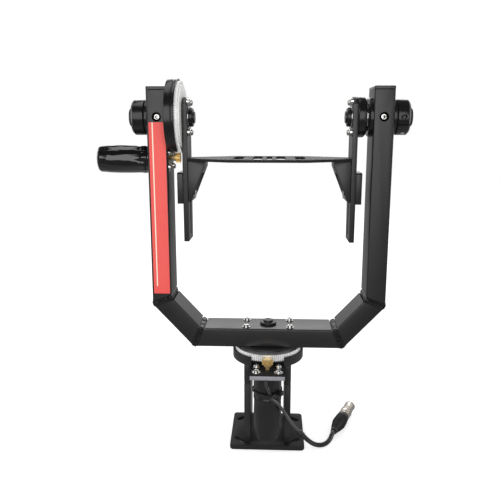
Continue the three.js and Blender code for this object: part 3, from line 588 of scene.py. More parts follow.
def plate(outline: Sequence[Point], holes: Iterable[Sequence[Point]], thickness: float, edge: float) -> Shape:
    """Makes a flat plate with holes, its rims rounded, standing on Z = 0.

    Args:
        outline: The outer line.
        holes: The line of each hole.
        thickness: The plate's thickness.
        edge: The rounding at every rim.

    Returns:
        The closed plate.
    """
    curve = bpy.data.curves.new("scratch", "CURVE")
    curve.dimensions = "2D"
    curve.fill_mode = "BOTH"
    curve.extrude = thickness / 2 - edge
    curve.bevel_depth = edge
    curve.offset = -edge
    curve.bevel_resolution = 1
    for points in (outline, *holes):
        spline = curve.splines.new("POLY")
        spline.points.add(len(points) - 1)
        for knot, (x, y) in zip(spline.points, points):
            knot.co = (x, y, 0, 1)
        spline.use_cyclic_u = True
    return placed(shape_of(linked("scratch", curve)), shift(0, 0, thickness / 2))


def arc(centre: Point, radius: float, start: float, end: float, steps: int = 8) -> list[Point]:
    """Gives points along an arc, both ends included, with angles in degrees."""
    angles = [math.radians(start + (end - start) * step / steps) for step in range(steps + 1)]
    return [(centre[0] + radius * math.cos(a), centre[1] + radius * math.sin(a)) for a in angles]


def rounded_rectangle(width: float, depth: float, radius: float) -> list[Point]:
    """Gives the outline of a rectangle about the origin.

    Args:
        width: Its size along X.
        depth: Its size along Y.
        radius: The radius of its corners.

    Returns:
        The outline.
    """
    right, back = width / 2 - radius, depth / 2 - radius
    corners = ((right, -back, -90), (right, back, 0), (-right, back, 90), (-right, -back, 180))
    return [point for x, y, start in corners for point in arc((x, y), radius, start, start + 90)]


def slot_hole(x: float, y: float, run: float, width: float, angle: float) -> list[Point]:
    """Gives the outline of a slot.

    Args:
        x: The slot's middle.
        y: The slot's middle.
        run: The distance between the centres of its round ends.
        width: The slot's width.
        angle: The direction of the run in degrees.

    Returns:
        The slot's outline.
    """
    along = Vector((math.cos(math.radians(angle)), math.sin(math.radians(angle)))) * run / 2
    ends = (((x + along.x, y + along.y), angle - 90), ((x - along.x, y - along.y), angle + 90))
    return [point for centre, start in ends for point in arc(centre, width / 2, start, start + 180, 12)]


# Small hardware


def bolt_places(x: float, y: float, height: float = 0.0, middle: float = 0.0) -> list[Place]:
    """Gives the four corners of a bolt pattern that stands a distance along Y from the origin."""
    return [(side * x, middle + end * y, height) for side in (-1, 1) for end in (-1, 1)]


class Recess(Enum):
    """What drives a screw."""

    HEX = "hex"
    CROSS = "cross"


@dataclass(frozen=True)
class Screw:
    """A screw head with its washer, standing on Z = 0."""

    head_radius: float
    head_height: float
    drive: Recess
    drive_radius: float
    drive_depth: float
    dome: float
    washer_radius: float = 0.0
    washer_height: float = 0.9
    flat: float = 0.3
    facets: int = 24

    def drive_reach(self, angle: float) -> float:
        """Gives how far the recess reaches in one direction.

        Args:
            angle: The direction in radians.

        Returns:
            The distance from the axis.
        """
        if self.drive is Recess.HEX:
            turn = math.tau / 6
            return self.drive_radius * math.cos(turn / 2) / math.cos(angle % turn - turn / 2)
        step = round((angle % (math.tau / 4)) / (math.tau / self.facets))
        return self.drive_radius * (1.0, 1.0, 0.52, 0.37, 0.52, 1.0, 1.0)[step % 7]

    def shape(self) -> Shape:
        """Builds the washer, the domed head and its recess.

        Returns:
            The closed head.
        """
        seat = self.washer_height if self.washer_radius else 0.0
        washer = [(self.washer_radius, 0.0), (self.washer_radius, seat)] if self.washer_radius else []
        top = seat + self.head_height
        crown, flat = self.head_height * self.dome, self.drive_radius + self.flat
        bend = [math.pi / 2 * step / 5 for step in range(6)]
        curve = [(flat + (self.head_radius - flat) * math.cos(a), top - crown + crown * math.sin(a)) for a in bend]
        bottom = top - self.drive_depth
        cone = max(0.2, bottom - 0.9 * self.drive_radius)
        recess = [(self.drive_radius, top), (self.drive_radius, bottom), (0.0, cone)]
        shape = turned([(0.0, 0.0), *washer, (self.head_radius, seat), *curve, *recess], self.facets)
        for vertex in shape.verts:
            reach = math.hypot(vertex.co.x, vertex.co.y)
            if abs(reach - self.drive_radius) < 1e-3:
                share = self.drive_reach(math.atan2(vertex.co.y, vertex.co.x)) / reach
                vertex.co.x *= share
                vertex.co.y *= share
        return shape

    def row(self, places: Iterable[Place], *matrices: Matrix) -> Shape:
        """Puts a screw at each place of a frame, all in one shape."""
        return joined(placed(self.shape(), *matrices, shift(*place)) for place in places)


# Both gearboxes hang on four of these.
DRIVE_SCREW = Screw(4.9, 3.4, Recess.CROSS, 2.2, 1.5, dome=0.65, washer_radius=6.4)


class Assembly:
    """Pieces that are made and fastened together."""

    def fit(
        self,
        name: str,
        shape: Shape,
        finish: Finish,
        body: str,
        stands_for: Sequence[str] = (),
        sharp: float = 35.0,
        material: Material | None = None,
    ) -> Piece:
        """Turns a shape in millimetres into a finished piece.

        Args:
            name: The piece's name.
            shape: The shape, which is used up.
            finish: Its surface treatment.
            body: The body that it moves with.
            stands_for: The CAD nodes that it replaces.
            sharp: The smallest turn, in degrees, that is shaded as an edge.
            material: A special material that takes the finish's place.

        Returns:
            The piece.
        """
        bmesh.ops.scale(shape, verts=shape.verts[:], vec=(MM, MM, MM))
        mesh = mesh_of(shape, name)
        mesh.materials.append(material or finish.material())
        mesh.shade_smooth()
        mesh.set_sharp_from_angle(angle=math.radians(sharp))
        piece = linked(name, mesh)
        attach(piece, body)
        if stands_for:
            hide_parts(*stands_for)
        logging.info("%s: %d faces, rides on %s", name, len(mesh.polygons), body)
        return piece

    def dress(self, finish: Finish, *nodes: str) -> None:
        """Gives CAD nodes that stay visible their finish.

        Args:
            finish: The surface treatment.
            nodes: The nodes' names.
        """
        for node in nodes:
            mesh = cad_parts[node].data
            mesh.materials.clear()
            mesh.materials.append(finish.material())


# The studio


@dataclass(frozen=True)
class Lamp:
    """A softbox that looks at the object."""

    name: str
    place: Place
    width: float
    height: float
    power: float
    target: Place = (0.0, 0.0, 0.28)

    def light(self) -> None:
        """Hangs the lamp and points it at its target."""
        data = bpy.data.lights.new(self.name, "AREA")
        data.shape = "RECTANGLE"
        data.size = self.width
        data.size_y = self.height
        data.energy = self.power
        lamp = linked(self.name, data)
        lamp.location = self.place
        lamp.rotation_euler = (Vector(self.target) - Vector(self.place)).to_track_quat("-Z", "Y").to_euler()


@dataclass
class Studio:
    """The camera, the lamps, the pale floor and the white surroundings, in metres."""

    lens: float = 41.74
    camera_place: Place = (0.00937, -0.8886, 0.4969)
    pitch: float = 78.205
    yaw: float = 2.49
    floor_radius: float = 5.0
    floor_level: float = -0.0003
    half_covered: float = 0.055
    glow: tuple[Point, Point] = ((0.4, 1.8), (0.58, 0.75))
    mirrored_floor: tuple[Point, Point] = ((-0.55, -0.15), (0.22, 0.42))
    mirrored_wall: tuple[Point, Point] = ((0.0, 0.5), (0.0, 1.0))
    wall_foot: tuple[Point, Point] = ((-0.05, 0.3), (0.4, 1.0))
    wall_head: tuple[Point, Point] = ((0.5, 0.85), (1.0, 0.0))
    room: float = 0.1
    ambient: float = 0.36
    lamps: tuple[Lamp, ...] = (
        Lamp("overhead_softbox", (-0.25, 0.15, 1.6), 0.9, 0.6, 3.4),
        Lamp("back_softbox", (0.0, 2.2, 1.55), 2.6, 0.8, 17.0, (0.0, 0.0, 0.3)),
        Lamp("front_softbox", (-0.2, -1.8, 0.8), 2.0, 1.4, 22.0),
        Lamp("left_strip", (-1.3, 0.1, 0.6), 0.35, 1.1, 4.2),
        Lamp("right_strip", (1.3, 0.1, 0.6), 0.35, 1.1, 4.2),
    )

    def camera(self) -> None:
        """Stands the camera where the photograph was taken from."""
        data = bpy.data.cameras.new("camera")
        data.lens = self.lens
        data.sensor_width = 36.0
        camera = linked("camera", data)
        camera.location = self.camera_place
        camera.rotation_euler = (math.radians(self.pitch), 0.0, math.radians(self.yaw))
        bpy.context.scene.camera = camera

    def mirror_rays(self, tree: Tree) -> tuple[Socket, Socket]:
        """Gives two sockets: 1 for the camera's own rays, and 1 for those that metal and glass send."""
        path = add_node(tree, "LightPath").outputs
        return path["Is Camera Ray"], number(tree, "MAXIMUM", path["Is Glossy Ray"], path["Is Transmission Ray"])

    def floor(self) -> None:
        """Lays the pale floor. It is white to the camera except under the base, and keeps the object's shadow."""
        shape = bmesh.new()
        bmesh.ops.create_circle(shape, cap_ends=True, segments=64, radius=self.floor_radius)
        bmesh.ops.translate(shape, verts=shape.verts[:], vec=(0, 0, self.floor_level))
        mesh = mesh_of(shape, "floor")
        floor = linked("floor", mesh)
        material, tree, output = empty_material("pale_floor")
        camera, mirrored = self.mirror_rays(tree)
        place = object_place(tree)
        grain = add_node(tree, "TexNoise", {}, {"Vector": place, "Scale": 400.0}).outputs["Fac"]
        paper = add_node(tree, "BsdfDiffuse", {}, {"Color": mixed(tree, grain, linear("#e2e2e2"), linear("#e8e8e8"))})
        level = ranged(tree, vector(tree, "LENGTH", place)["Value"], *self.glow)
        sides = axes(tree, vector(tree, "ABSOLUTE", place)[0])
        clear = number(tree, "GREATER_THAN", number(tree, "MAXIMUM", sides["X"], sides["Y"]), self.half_covered)
        shown = number(tree, "MULTIPLY", number(tree, "MULTIPLY", camera, clear), level)
        glow = add_node(tree, "Emission", {}, {"Strength": shown})
        lit = add_node(tree, "AddShader", {}, {0: paper.outputs[0], 1: glow.outputs[0]})
        seen = ranged(tree, axes(tree, place)["Y"], *self.mirrored_floor, smooth=True)
        mirror = add_node(tree, "Emission", {}, {"Strength": seen})
        surface = add_node(tree, "MixShader", {}, {0: mirrored, 1: lit.outputs[0], 2: mirror.outputs[0]})
        tree.links.new(surface.outputs[0], output.inputs["Surface"])
        material.cycles.emission_sampling = "NONE"
        mesh.materials.append(material)

    def world(self) -> None:
        """Surrounds the set: white to the camera, and in reflections a lit wall behind the object in a dark room."""
        world = bpy.data.worlds.new("white_cove")
        world.use_nodes = True
        tree = world.node_tree
        tree.nodes.clear()
        camera, mirrored = self.mirror_rays(tree)
        ways = axes(tree, add_node(tree, "TexCoord").outputs["Generated"])
        parts = (("Y", self.mirrored_wall), ("Z", self.wall_foot), ("Z", self.wall_head))
        wall, foot, head = (ranged(tree, ways[way], *part, smooth=True) for way, part in parts)
        whole = number(tree, "MULTIPLY", number(tree, "MULTIPLY", wall, foot), head)
        seen = ranged(tree, whole, (0.0, 1.0), (self.room, 1.0))
        shine = number(tree, "MULTIPLY", mirrored, seen)
        fill = add_node(tree, "Mix", {"data_type": "FLOAT"}, {0: mirrored, 2: self.ambient, 3: 0.0}).outputs[0]
        strength = number(tree, "MAXIMUM", number(tree, "ADD", shine, fill), camera)
        background = add_node(tree, "Background", {}, {"Color": linear("#ffffff"), "Strength": strength})
        tree.links.new(background.outputs[0], add_node(tree, "OutputWorld").inputs["Surface"])
        world.cycles.sampling_method = "NONE"
        bpy.context.scene.world = world

    def build(self) -> None:
        """Sets up the whole studio."""
        bpy.context.scene.view_settings.view_transform = "Standard"
        self.camera()
        for lamp in self.lamps:
            lamp.light()
        self.floor()
        self.world()


# The cords


@dataclass
class CableRun(Assembly):
    """The motor lead, its splice, the signal cable and the connector that lies beside the base."""

    lead_diameter: float = 4.8
    cable_diameter: float = 7.5
    lead: tuple[Place, ...] = (
        (-2, -86.5, 130.7), (-1.2, -86.5, 124), (1.4, -86.5, 117), (3.5, -86.5, 111), (4.4, -86.5, 107),
        (5.6, -86.2, 103), (9.6, -84.9, 99), (16.4, -81.9, 91.6), (24.2, -75.7, 78.4), (30.6, -68.7, 64.3),
        (37.6, -61, 49.8), (43.9, -54.9, 39.1), (47.5, -52.1, 33.9), (50.4, -50, 29.9),
    )  # fmt: skip
    cable: tuple[Place, ...] = (
        (56.6, -46, 21.5), (59.4, -44.2, 17.7), (65, -43.6, 11.8), (73.6, -44.8, 6.6), (83.4, -44.2, 4.1),
        (93.4, -39.4, 4.3), (100.8, -31, 6.9), (104.6, -23.2, 10.1), (106.5, -18.6, 11.3), (108, -15, 11.3),
    )  # fmt: skip
    lead_length: float = 122.8
    cable_length: float = 75.0
    splice_radius: float = 4.6
    splice_film: float = 0.3
    boot_direction: float = 67.5
    boot_radius: float = 11.3
    boot_length: float = 56.0
    boot_bore: float = 4.6
    boot_mouth: float = 9.8
    ribbed: Point = (0.12, 0.86)
    rib_pitch: float = 3.4
    rib_depth: float = 0.8
    shell_length: float = 44.0
    shell_depth: float = 13.0
    pin_circle: float = 4.1
    gap: float = 0.3

    def cord(self, name: str, route: Sequence[Place], diameter: float, finish: Finish, stands_for: str) -> Piece:
        """Makes a round cord along a route.

        Args:
            name: The cord's name.
            route: Points in millimetres.
            diameter: Its diameter in millimetres.
            finish: Its jacket.
            stands_for: The CAD node that it replaces.

        Returns:
            The cord's curve.
        """
        curve = bpy.data.curves.new(name, "CURVE")
        curve.dimensions = "3D"
        curve.bevel_depth = diameter / 2 * MM
        curve.bevel_resolution = 5
        curve.resolution_u = 8
        curve.use_fill_caps = True
        spline = curve.splines.new("BEZIER")
        spline.bezier_points.add(len(route) - 1)
        for knot, point in zip(spline.bezier_points, route):
            knot.co = Vector(point) * MM
            knot.handle_left_type = "AUTO"
            knot.handle_right_type = "AUTO"
        curve.materials.append(finish.material())
        piece = linked(name, curve)
        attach(piece, "base")
        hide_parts(stands_for)
        logging.info("%s: %.1f mm long", name, spline.calc_length() / MM)
        return piece

    def splice(self) -> Piece:
        """Shrinks a sleeve over the joint of lead and cable.

        Returns:
            The sleeve.
        """
        start, end = Vector(self.lead[-1]), Vector(self.cable[0])
        along = end - start
        reach, radius = along.length, self.splice_radius
        neck, wide = self.lead_diameter / 2 + self.splice_film, self.cable_diameter / 2 + self.splice_film
        profile = [(0, 0), (neck, 0), (neck + 0.9, 0.8), (radius, 3), (radius, reach - 1.6), (wide, reach), (0, reach)]
        where = Matrix.Translation(start) @ along.to_track_quat("Z", "Y").to_matrix().to_4x4()
        sleeve = placed(softened(turned(profile), 0.3), where)
        return self.fit("splice_sleeve", sleeve, GLOSS_FILM, "base", ["lead_splice"])

    def connector_frame(self) -> Matrix:
        """Gives the connector's frame.

        Returns:
            The frame, whose local +Z runs along the connector from the end of the cable.
        """
        turn, (x, y, _) = math.radians(self.boot_direction), self.cable[-1]
        start = shift(x + self.gap * math.cos(turn), y + self.gap * math.sin(turn), self.boot_radius)
        return start @ about("Z", self.boot_direction) @ about("Y", 90)

    def boot(self) -> Piece:
        """Makes the tapered rubber boot with its ribs.

        Returns:
            The boot.
        """
        length, mouth, profile = self.boot_length, self.boot_mouth, [(0.0, 0.0), (self.boot_bore, 0.0)]
        stations = [(0.0, 5.2), (0.06, 5.4), (0.3, 8.6), (0.55, self.boot_radius), (0.8, 10.8), (1.0, mouth)]
        first, last = self.ribbed
        count = int(length / self.rib_pitch * 4)
        for step in range(1, count):
            share = step / count
            low = max(i for i, (at, _) in enumerate(stations) if at <= share)
            (at, radius), (after, further) = stations[low], stations[low + 1]
            blend = (share - at) / (after - at)
            groove = self.rib_depth if first < share < last and step % 4 in (0, 1) else 0
            profile.append((radius + (further - radius) * blend - groove, share * length))
        profile += [(mouth, length), (0.0, length)]
        shape = placed(turned(profile, 72), self.connector_frame())
        return self.fit("strain_relief_boot", shape, RUBBER, "base", ["connector_boot"])

    def shell(self) -> list[Piece]:
        """Makes the plated shell, its insert and its contact pins.

        Returns:
            The pieces at the end of the cable.
        """
        start = self.boot_length + self.gap
        end = start + self.shell_length
        floor = end - self.shell_depth
        profile = [
            (0, start), (9.9, start), (9.9, start + 2.4), (9.3, start + 2.8), (9.3, start + 4.6), (9.9, start + 5),
            (9.9, start + 20), (8.9, start + 21), (8.9, end - 4.2), (9.2, end - 3.8), (9.2, end - 0.6), (8.7, end),
            (7.6, end), (7.6, floor), (0, floor),
        ]  # fmt: skip
        notch = block((-12, -2.6, start + 7), (-8.6, 2.6, start + 17))
        key = block((6.5, -1.2, end - 8), (10.5, 1.2, end + 1))
        body = softened(carved(turned(profile, 72), notch, key), 0.25)
        lock = softened(block((-10, -2.2, start + 7.6), (-8.4, 2.2, start + 16.4)), 0.4)
        pin = [(0, end - 12.4), (1.15, end - 12.4), (1.15, end - 3.4), (0.6, end - 2.6), (0, end - 2.4)]
        turns = [about("Z", turn + 90) @ shift(self.pin_circle, 0, 0) for turn in (0, 120, 240)]
        pieces = (
            ("plated_shell", body, SATIN_NICKEL, ["connector_shell"]),
            ("lock_button", lock, NICKEL, []),
            ("contact_insert", ring(0, 7.5, floor, floor + 1, 48), MOULDED, []),
            ("contact_pins", joined(placed(turned(pin, 20), turn) for turn in turns), NICKEL, []),
        )
        where = self.connector_frame()
        return [self.fit(name, placed(shape, where), finish, "base", nodes) for name, shape, finish, nodes in pieces]

    def build(self) -> None:
        """Lays both cords and their ends."""
        splice = self.splice()
        lead = self.cord("power_lead", self.lead, self.lead_diameter, LEAD_SKIN, "motor_lead")
        cable = self.cord("control_cable", self.cable, self.cable_diameter, JACKET, "signal_cable")
        ends = [self.boot(), *self.shell()]


# The drives


@dataclass
class DriveModule(Assembly):
    """A spur gear drive, the same for both axes, measured along its axis from the face that it stands on."""

    axis_name: str
    where: Matrix
    drum_body: str
    gear_body: str
    turned_black: Finish
    bright: Finish
    steel: Finish
    flange_finish: Finish
    flange_radius: float
    stack: float
    drum_radius: float = 56.5
    drum_wall: float = 2.5
    drum_floor: float = 4.0
    drum_height: float = 15.0
    spigot_depth: float = 8.0
    seat_depth: float = 6.0
    spigot_radius: float = 20.0
    bearing_radius: float = 17.8
    lip_radius: float = 14.0
    window_width: float = 50.0
    window_start: float = 38.0
    gear_top: float = 19.0

    def drum(self) -> None:
        """Turns the gear's drum, with one ring groove and the pinion's window."""
        outer, inner, height = self.drum_radius, self.drum_radius - self.drum_wall, self.drum_height
        profile = [
            (self.lip_radius, -self.spigot_depth), (self.spigot_radius, -self.spigot_depth), (self.spigot_radius, 0),
            (outer - 0.6, 0), (outer, 0.6), (outer, 9.6), (outer - 0.5, 10), (outer - 0.5, 11), (outer, 11.4),
            (outer, height - 0.6), (outer - 0.6, height), (inner, height), (inner, self.drum_floor),
            (self.bearing_radius, self.drum_floor), (self.bearing_radius, -self.seat_depth),
            (self.lip_radius, -self.seat_depth),
        ]  # fmt: skip
        half = self.window_width / 2
        window = block((-half, -outer - 2, -2), (half, -self.window_start, height + 2))
        drum = placed(softened(carved(turned(profile, 128, closed=True), window), 0.35), self.where)
        name = self.axis_name
        self.fit(f"{name}_gear_drum", drum, self.turned_black, self.drum_body, [f"{name}_drum"])

    def flange(self) -> None:
        """Turns the flange that ties the gear to what it drives."""
        flange = softened(ring(SHAFT_BORE, self.flange_radius, self.gear_top, self.stack, 128), 0.3)
        name, shape = self.axis_name, placed(flange, self.where)
        self.fit(f"{name}_drive_flange", shape, self.flange_finish, self.gear_body, [f"{name}_hub_flange"])

    def build(self) -> None:
        """Builds the drum and flange, and dresses the gear, bearing and pinion."""
        self.drum()
        self.flange()
        for finish, part in ((self.bright, "gear"), (self.steel, "bearing"), (BRASS, "pinion")):
            self.dress(finish, f"{self.axis_name}_{part}")


@dataclass
class WrappedMotor(Assembly):
    """A gearbox and its motor in one sleeve of black film, hanging from its mounting face along local -Z."""

    name: str
    where: Matrix
    body: str
    stands_for: tuple[str, ...]
    film: Finish
    motor_length: float
    creases: float
    flap_angle: float
    flap_width: float
    end_round: float
    gearbox_length: float = 38.0
    motor_radius: float = 20.8
    step_length: float = 3.5
    groove_height: float = 6.2
    groove_depth: float = 1.0
    taper: float = 1.3
    taper_length: float = 18.0
    bulge: float = 0.6
    crease_spread: float = 3.2
    long_crease: float = 34.0
    fine_crease: float = 12.0
    flap_height: float = 0.55

    def radius_at(self, depth: float) -> float:
        """Gives the sleeve's radius.

        Args:
            depth: The distance below the mounting face.

        Returns:
            The radius without creases.
        """
        past, left = depth - self.gearbox_length, self.gearbox_length + self.motor_length - depth
        radius = GEARBOX_RADIUS
        if past > 0:
            share = min(1.0, past / self.step_length)
            radius -= (GEARBOX_RADIUS - self.motor_radius) * (0.5 - 0.5 * math.cos(math.pi * share))
        groove = self.gearbox_length - self.groove_height
        radius -= self.groove_depth * math.exp(-(((depth - groove) / 1.3) ** 2))
        radius -= self.taper * max(0.0, 1 - left / self.taper_length)
        radius += self.bulge * math.sin(math.pi * min(1.0, max(0.0, past) / self.motor_length))
        if left < self.end_round:
            radius -= self.end_round - math.sqrt(max(0.0, self.end_round**2 - (self.end_round - left) ** 2))
        return radius

    def fold(self, angle: float, depth: float) -> float:
        """Gives the height of the film's creases and of its overlapped edge.

        Args:
            angle: The direction round the axis in radians.
            depth: The distance below the mounting face.

        Returns:
            The height over the plain sleeve.
        """
        total = self.gearbox_length + self.motor_length
        around = Vector((math.cos(angle), math.sin(angle), 0)) * self.crease_spread
        long_fold = noise.noise(around + Vector((0, 0, depth / self.long_crease)))
        fine_fold = noise.noise(around * 2.7 + Vector((0, 0, depth / self.fine_crease)))
        gather = 0.35 + 0.65 * math.exp(-(((depth - self.gearbox_length) / 9) ** 2)) + 0.5 * (depth / total) ** 6
        height = self.creases * gather * (0.7 * long_fold + 0.3 * fine_fold)
        off = math.degrees((angle - math.radians(self.flap_angle) + math.pi) % math.tau - math.pi)
        off += 2.5 * noise.noise(Vector((depth / 16, 3.0, 0.0)))
        if 0 <= off <= self.flap_width:
            height += self.flap_height * min(1.0, off / 1.5, (self.flap_width - off) / 9)
        return height

    def build(self) -> None:
        """Makes the sleeve: stations 1.25 mm apart along it, and 0.5 mm apart round its end."""
        total = self.gearbox_length + self.motor_length
        depths = [0.0, 0.4] + [1 + 1.25 * step for step in range(int((total - 7) / 1.25))]
        depths += [total - 5.5 + 0.5 * step for step in range(11)] + [total - 0.05]
        profile = [(0.0, 0.0), *((self.radius_at(depth), -depth) for depth in depths)]
        profile += [(self.radius_at(total) - 0.4, -total), (0.0, -total)]
        shape = turned(profile, 120)
        for vertex in shape.verts:
            radius = math.hypot(vertex.co.x, vertex.co.y)
            if radius > self.motor_radius - self.taper - self.end_round - 1:
                angle = math.atan2(vertex.co.y, vertex.co.x)
                share = 1 + (self.fold(angle, -vertex.co.z) - 0.35) / radius
                vertex.co.x *= share
                vertex.co.y *= share
        self.fit(self.name, placed(shape, self.where), self.film, self.body, self.stands_for, sharp=50)


# The fixed base


@dataclass
class BaseStand(Assembly):
    """The base plate, its two side brackets, the pan motor's plate, the pan drum and the cable tie."""

    width: float = 118.0
    depth: float = 111.0
    thickness: float = 6.5
    corner: float = 6.0
    slot_x: float = 43.0
    slot_y: float = 36.0
    slot_run: float = 15.0
    slot_width: float = 8.0
    slot_angle: float = 40.0
    bracket_gap: float = 53.0
    bracket_thickness: float = 10.0
    half_bracket: float = 45.0
    notch_bottom: float = 105.7
    notch_top: float = 110.8
    notch_depth: float = 3.0
    plate_front: float = -85.5
    plate_back: float = -30.0
    plate_thickness: float = 7.0
    half_highlight: float = 0.2
    bolt_y: float = 10.5
    tie_height: float = 107.0
    tie_width: float = 4.0
    tie_gap: float = 0.3
    tie_reach: float = 1.5
    lead_place: Point = (4.4, -86.5)
    lead_room: float = 3.3
    lock_angle: float = -36.0

    def base_plate(self) -> None:
        """Cuts the base plate with its four slanted slots."""
        slots = [
            slot_hole(x * self.slot_x, y * self.slot_y, self.slot_run, self.slot_width, -x * y * self.slot_angle)
            for x, y, _ in bolt_places(1, 1)
        ]
        shape = plate(rounded_rectangle(self.width, self.depth, self.corner), slots, self.thickness, 0.7)
        self.fit("slotted_base_plate", shape, BLASTED_BLACK, "base", ["base_plate"])

    def brackets(self) -> None:
        """Cuts the two side brackets."""
        back, base = self.half_bracket, self.thickness
        front, notch = -back, self.notch_depth - back
        outline = [
            (front, base), (back, base), (back, DRIVE_HEIGHT), (front, DRIVE_HEIGHT), (front, self.notch_top),
            (notch, self.notch_top), (notch, self.notch_bottom), (front, self.notch_bottom),
        ]  # fmt: skip
        half = self.bracket_thickness / 2
        for side, name in SIDES:
            middle = side * (self.bracket_gap / 2 + half)
            shape = softened(prism(outline, middle - half, middle + half), 0.6)
            shape = placed(shape, side_frame(1) @ shift(0, -TILT_HEIGHT, 0))
            self.fit(f"{name}_side_bracket_plate", shape, MILLED_BLACK, "base", [f"{name}_side_bracket"])

    def motor_plate(self) -> None:
        """Cuts the plate that the pan motor hangs on, with its four screws."""
        half, top, front = self.bracket_gap / 2, DRIVE_HEIGHT, self.plate_front
        hole = placed(ring(0, OUTPUT_BORE, top - 10, top + 2, 40), shift(0, -PINION_REACH, 0))
        slab = block((0.05 - half, front, top - self.plate_thickness), (half - 0.05, self.plate_back, top))
        self.fit("pan_drive_plate", softened(carved(slab, hole), 0.5), BLASTED_BLACK, "base", ["pan_motor_plate"])
        # A thin pale strip over the plate's front edge is a painted highlight.
        foot, reach = top - self.plate_thickness + 0.4, self.half_highlight
        edge = softened(block((0.4 - half, front - reach, foot), (half - 0.4, front + reach, top - 0.4)), 0.12)
        self.fit("pan_drive_plate_painted_highlight", edge, EDGE_HIGHLIGHT, "base")
        places = bolt_places(MOTOR_BOLT_X, self.bolt_y, top, -MOTOR_REACH)
        self.fit("pan_drive_screws", DRIVE_SCREW.row(places), NICKEL, "base")

    def strap(self, offset: float) -> list[Point]:
        """Gives the line round the gearbox and the lead at an offset.

        Args:
            offset: How far out it lies.

        Returns:
            The closed line, from the gearbox's axis.
        """
        x, y = self.lead_place
        lead = Vector((x, y + MOTOR_REACH))
        towards = math.degrees(math.atan2(lead.y, lead.x))
        spread = math.degrees(math.acos((GEARBOX_RADIUS - self.lead_room) / lead.length))
        back = arc((0, 0), GEARBOX_RADIUS + offset, towards + spread, towards - spread + 360, 72)
        return back + arc(lead, self.lead_room + offset, towards - spread, towards + spread, 20)

    def tie(self) -> None:
        """Straps the lead to the gearbox with a moulded tie and its lock."""
        band = plate(self.strap(self.tie_reach), [self.strap(self.tie_gap)], self.tie_width, 0.3)
        lock = softened(block((22.2, -4, -1.5), (28.1, 4, 5.5)), 0.6)
        tail = softened(block((24.2, -7.5, 0.7), (25.4, -3.5, 3.3)), 0.3)
        turn = about("Z", self.lock_angle)
        shape = joined([band, placed(lock, turn), placed(tail, turn)])
        where = shift(0, -MOTOR_REACH, self.tie_height - self.tie_width / 2)
        self.fit("lead_tie", placed(shape, where), MOULDED, "base", ["motor_cable_tie"])

    def build(self) -> None:
        """Builds the whole base."""
        self.base_plate()
        self.brackets()
        self.motor_plate()
        DriveModule(
            "pan", PAN_FRAME, "base", "yoke", TURNED_BLACK_PAN, BRIGHT_PAN, STEEL_PAN, TURNED_BLACK_PAN,
            flange_radius=40.0, stack=22.5,
        ).build()  # fmt: skip
        WrappedMotor(
            "pan_motor_sleeve", shift(0, -MOTOR_REACH, DRIVE_HEIGHT - self.plate_thickness), "base",
            ("pan_gearbox", "pan_motor"), DULL_FILM,
            motor_length=64.0, creases=1.3, flap_angle=-38.0, flap_width=40.0, end_round=1.5,
        ).build()  # fmt: skip
        self.tie()


# The yoke


@dataclass(frozen=True)
class LabelVinyl:
    """Cast red vinyl with one printed white stripe: even colour, a soft gloss and a faint grain."""

    base: Finish = Finish(
        "red_label_vinyl", "black_coat", "#f05852", "#f4605a", (0.4, 0.5), grain=1.5, relief=0.004, specular=0.35
    )
    stripe: str = "#f6ecd8"
    stripe_left: float = -172.3
    stripe_width: float = 1.7
    stripe_foot: float = 258.6

    def material(self) -> Material:
        """Prints the stripe over the red.

        Returns:
            The label's material.
        """
        material = self.base.material()
        tree, half = material.node_tree, self.stripe_width / 2
        colour = next(node for node in tree.nodes if node.type == "BSDF_PRINCIPLED").inputs["Base Color"]
        spot = axes(tree, object_place(tree))
        across = number(tree, "COMPARE", spot["X"], (self.stripe_left + half) * MM, half * MM)
        inside = number(tree, "MULTIPLY", across, number(tree, "GREATER_THAN", spot["Z"], self.stripe_foot * MM))
        tree.links.new(mixed(tree, inside, colour.links[0].from_socket, linear(self.stripe)), colour)
        return material


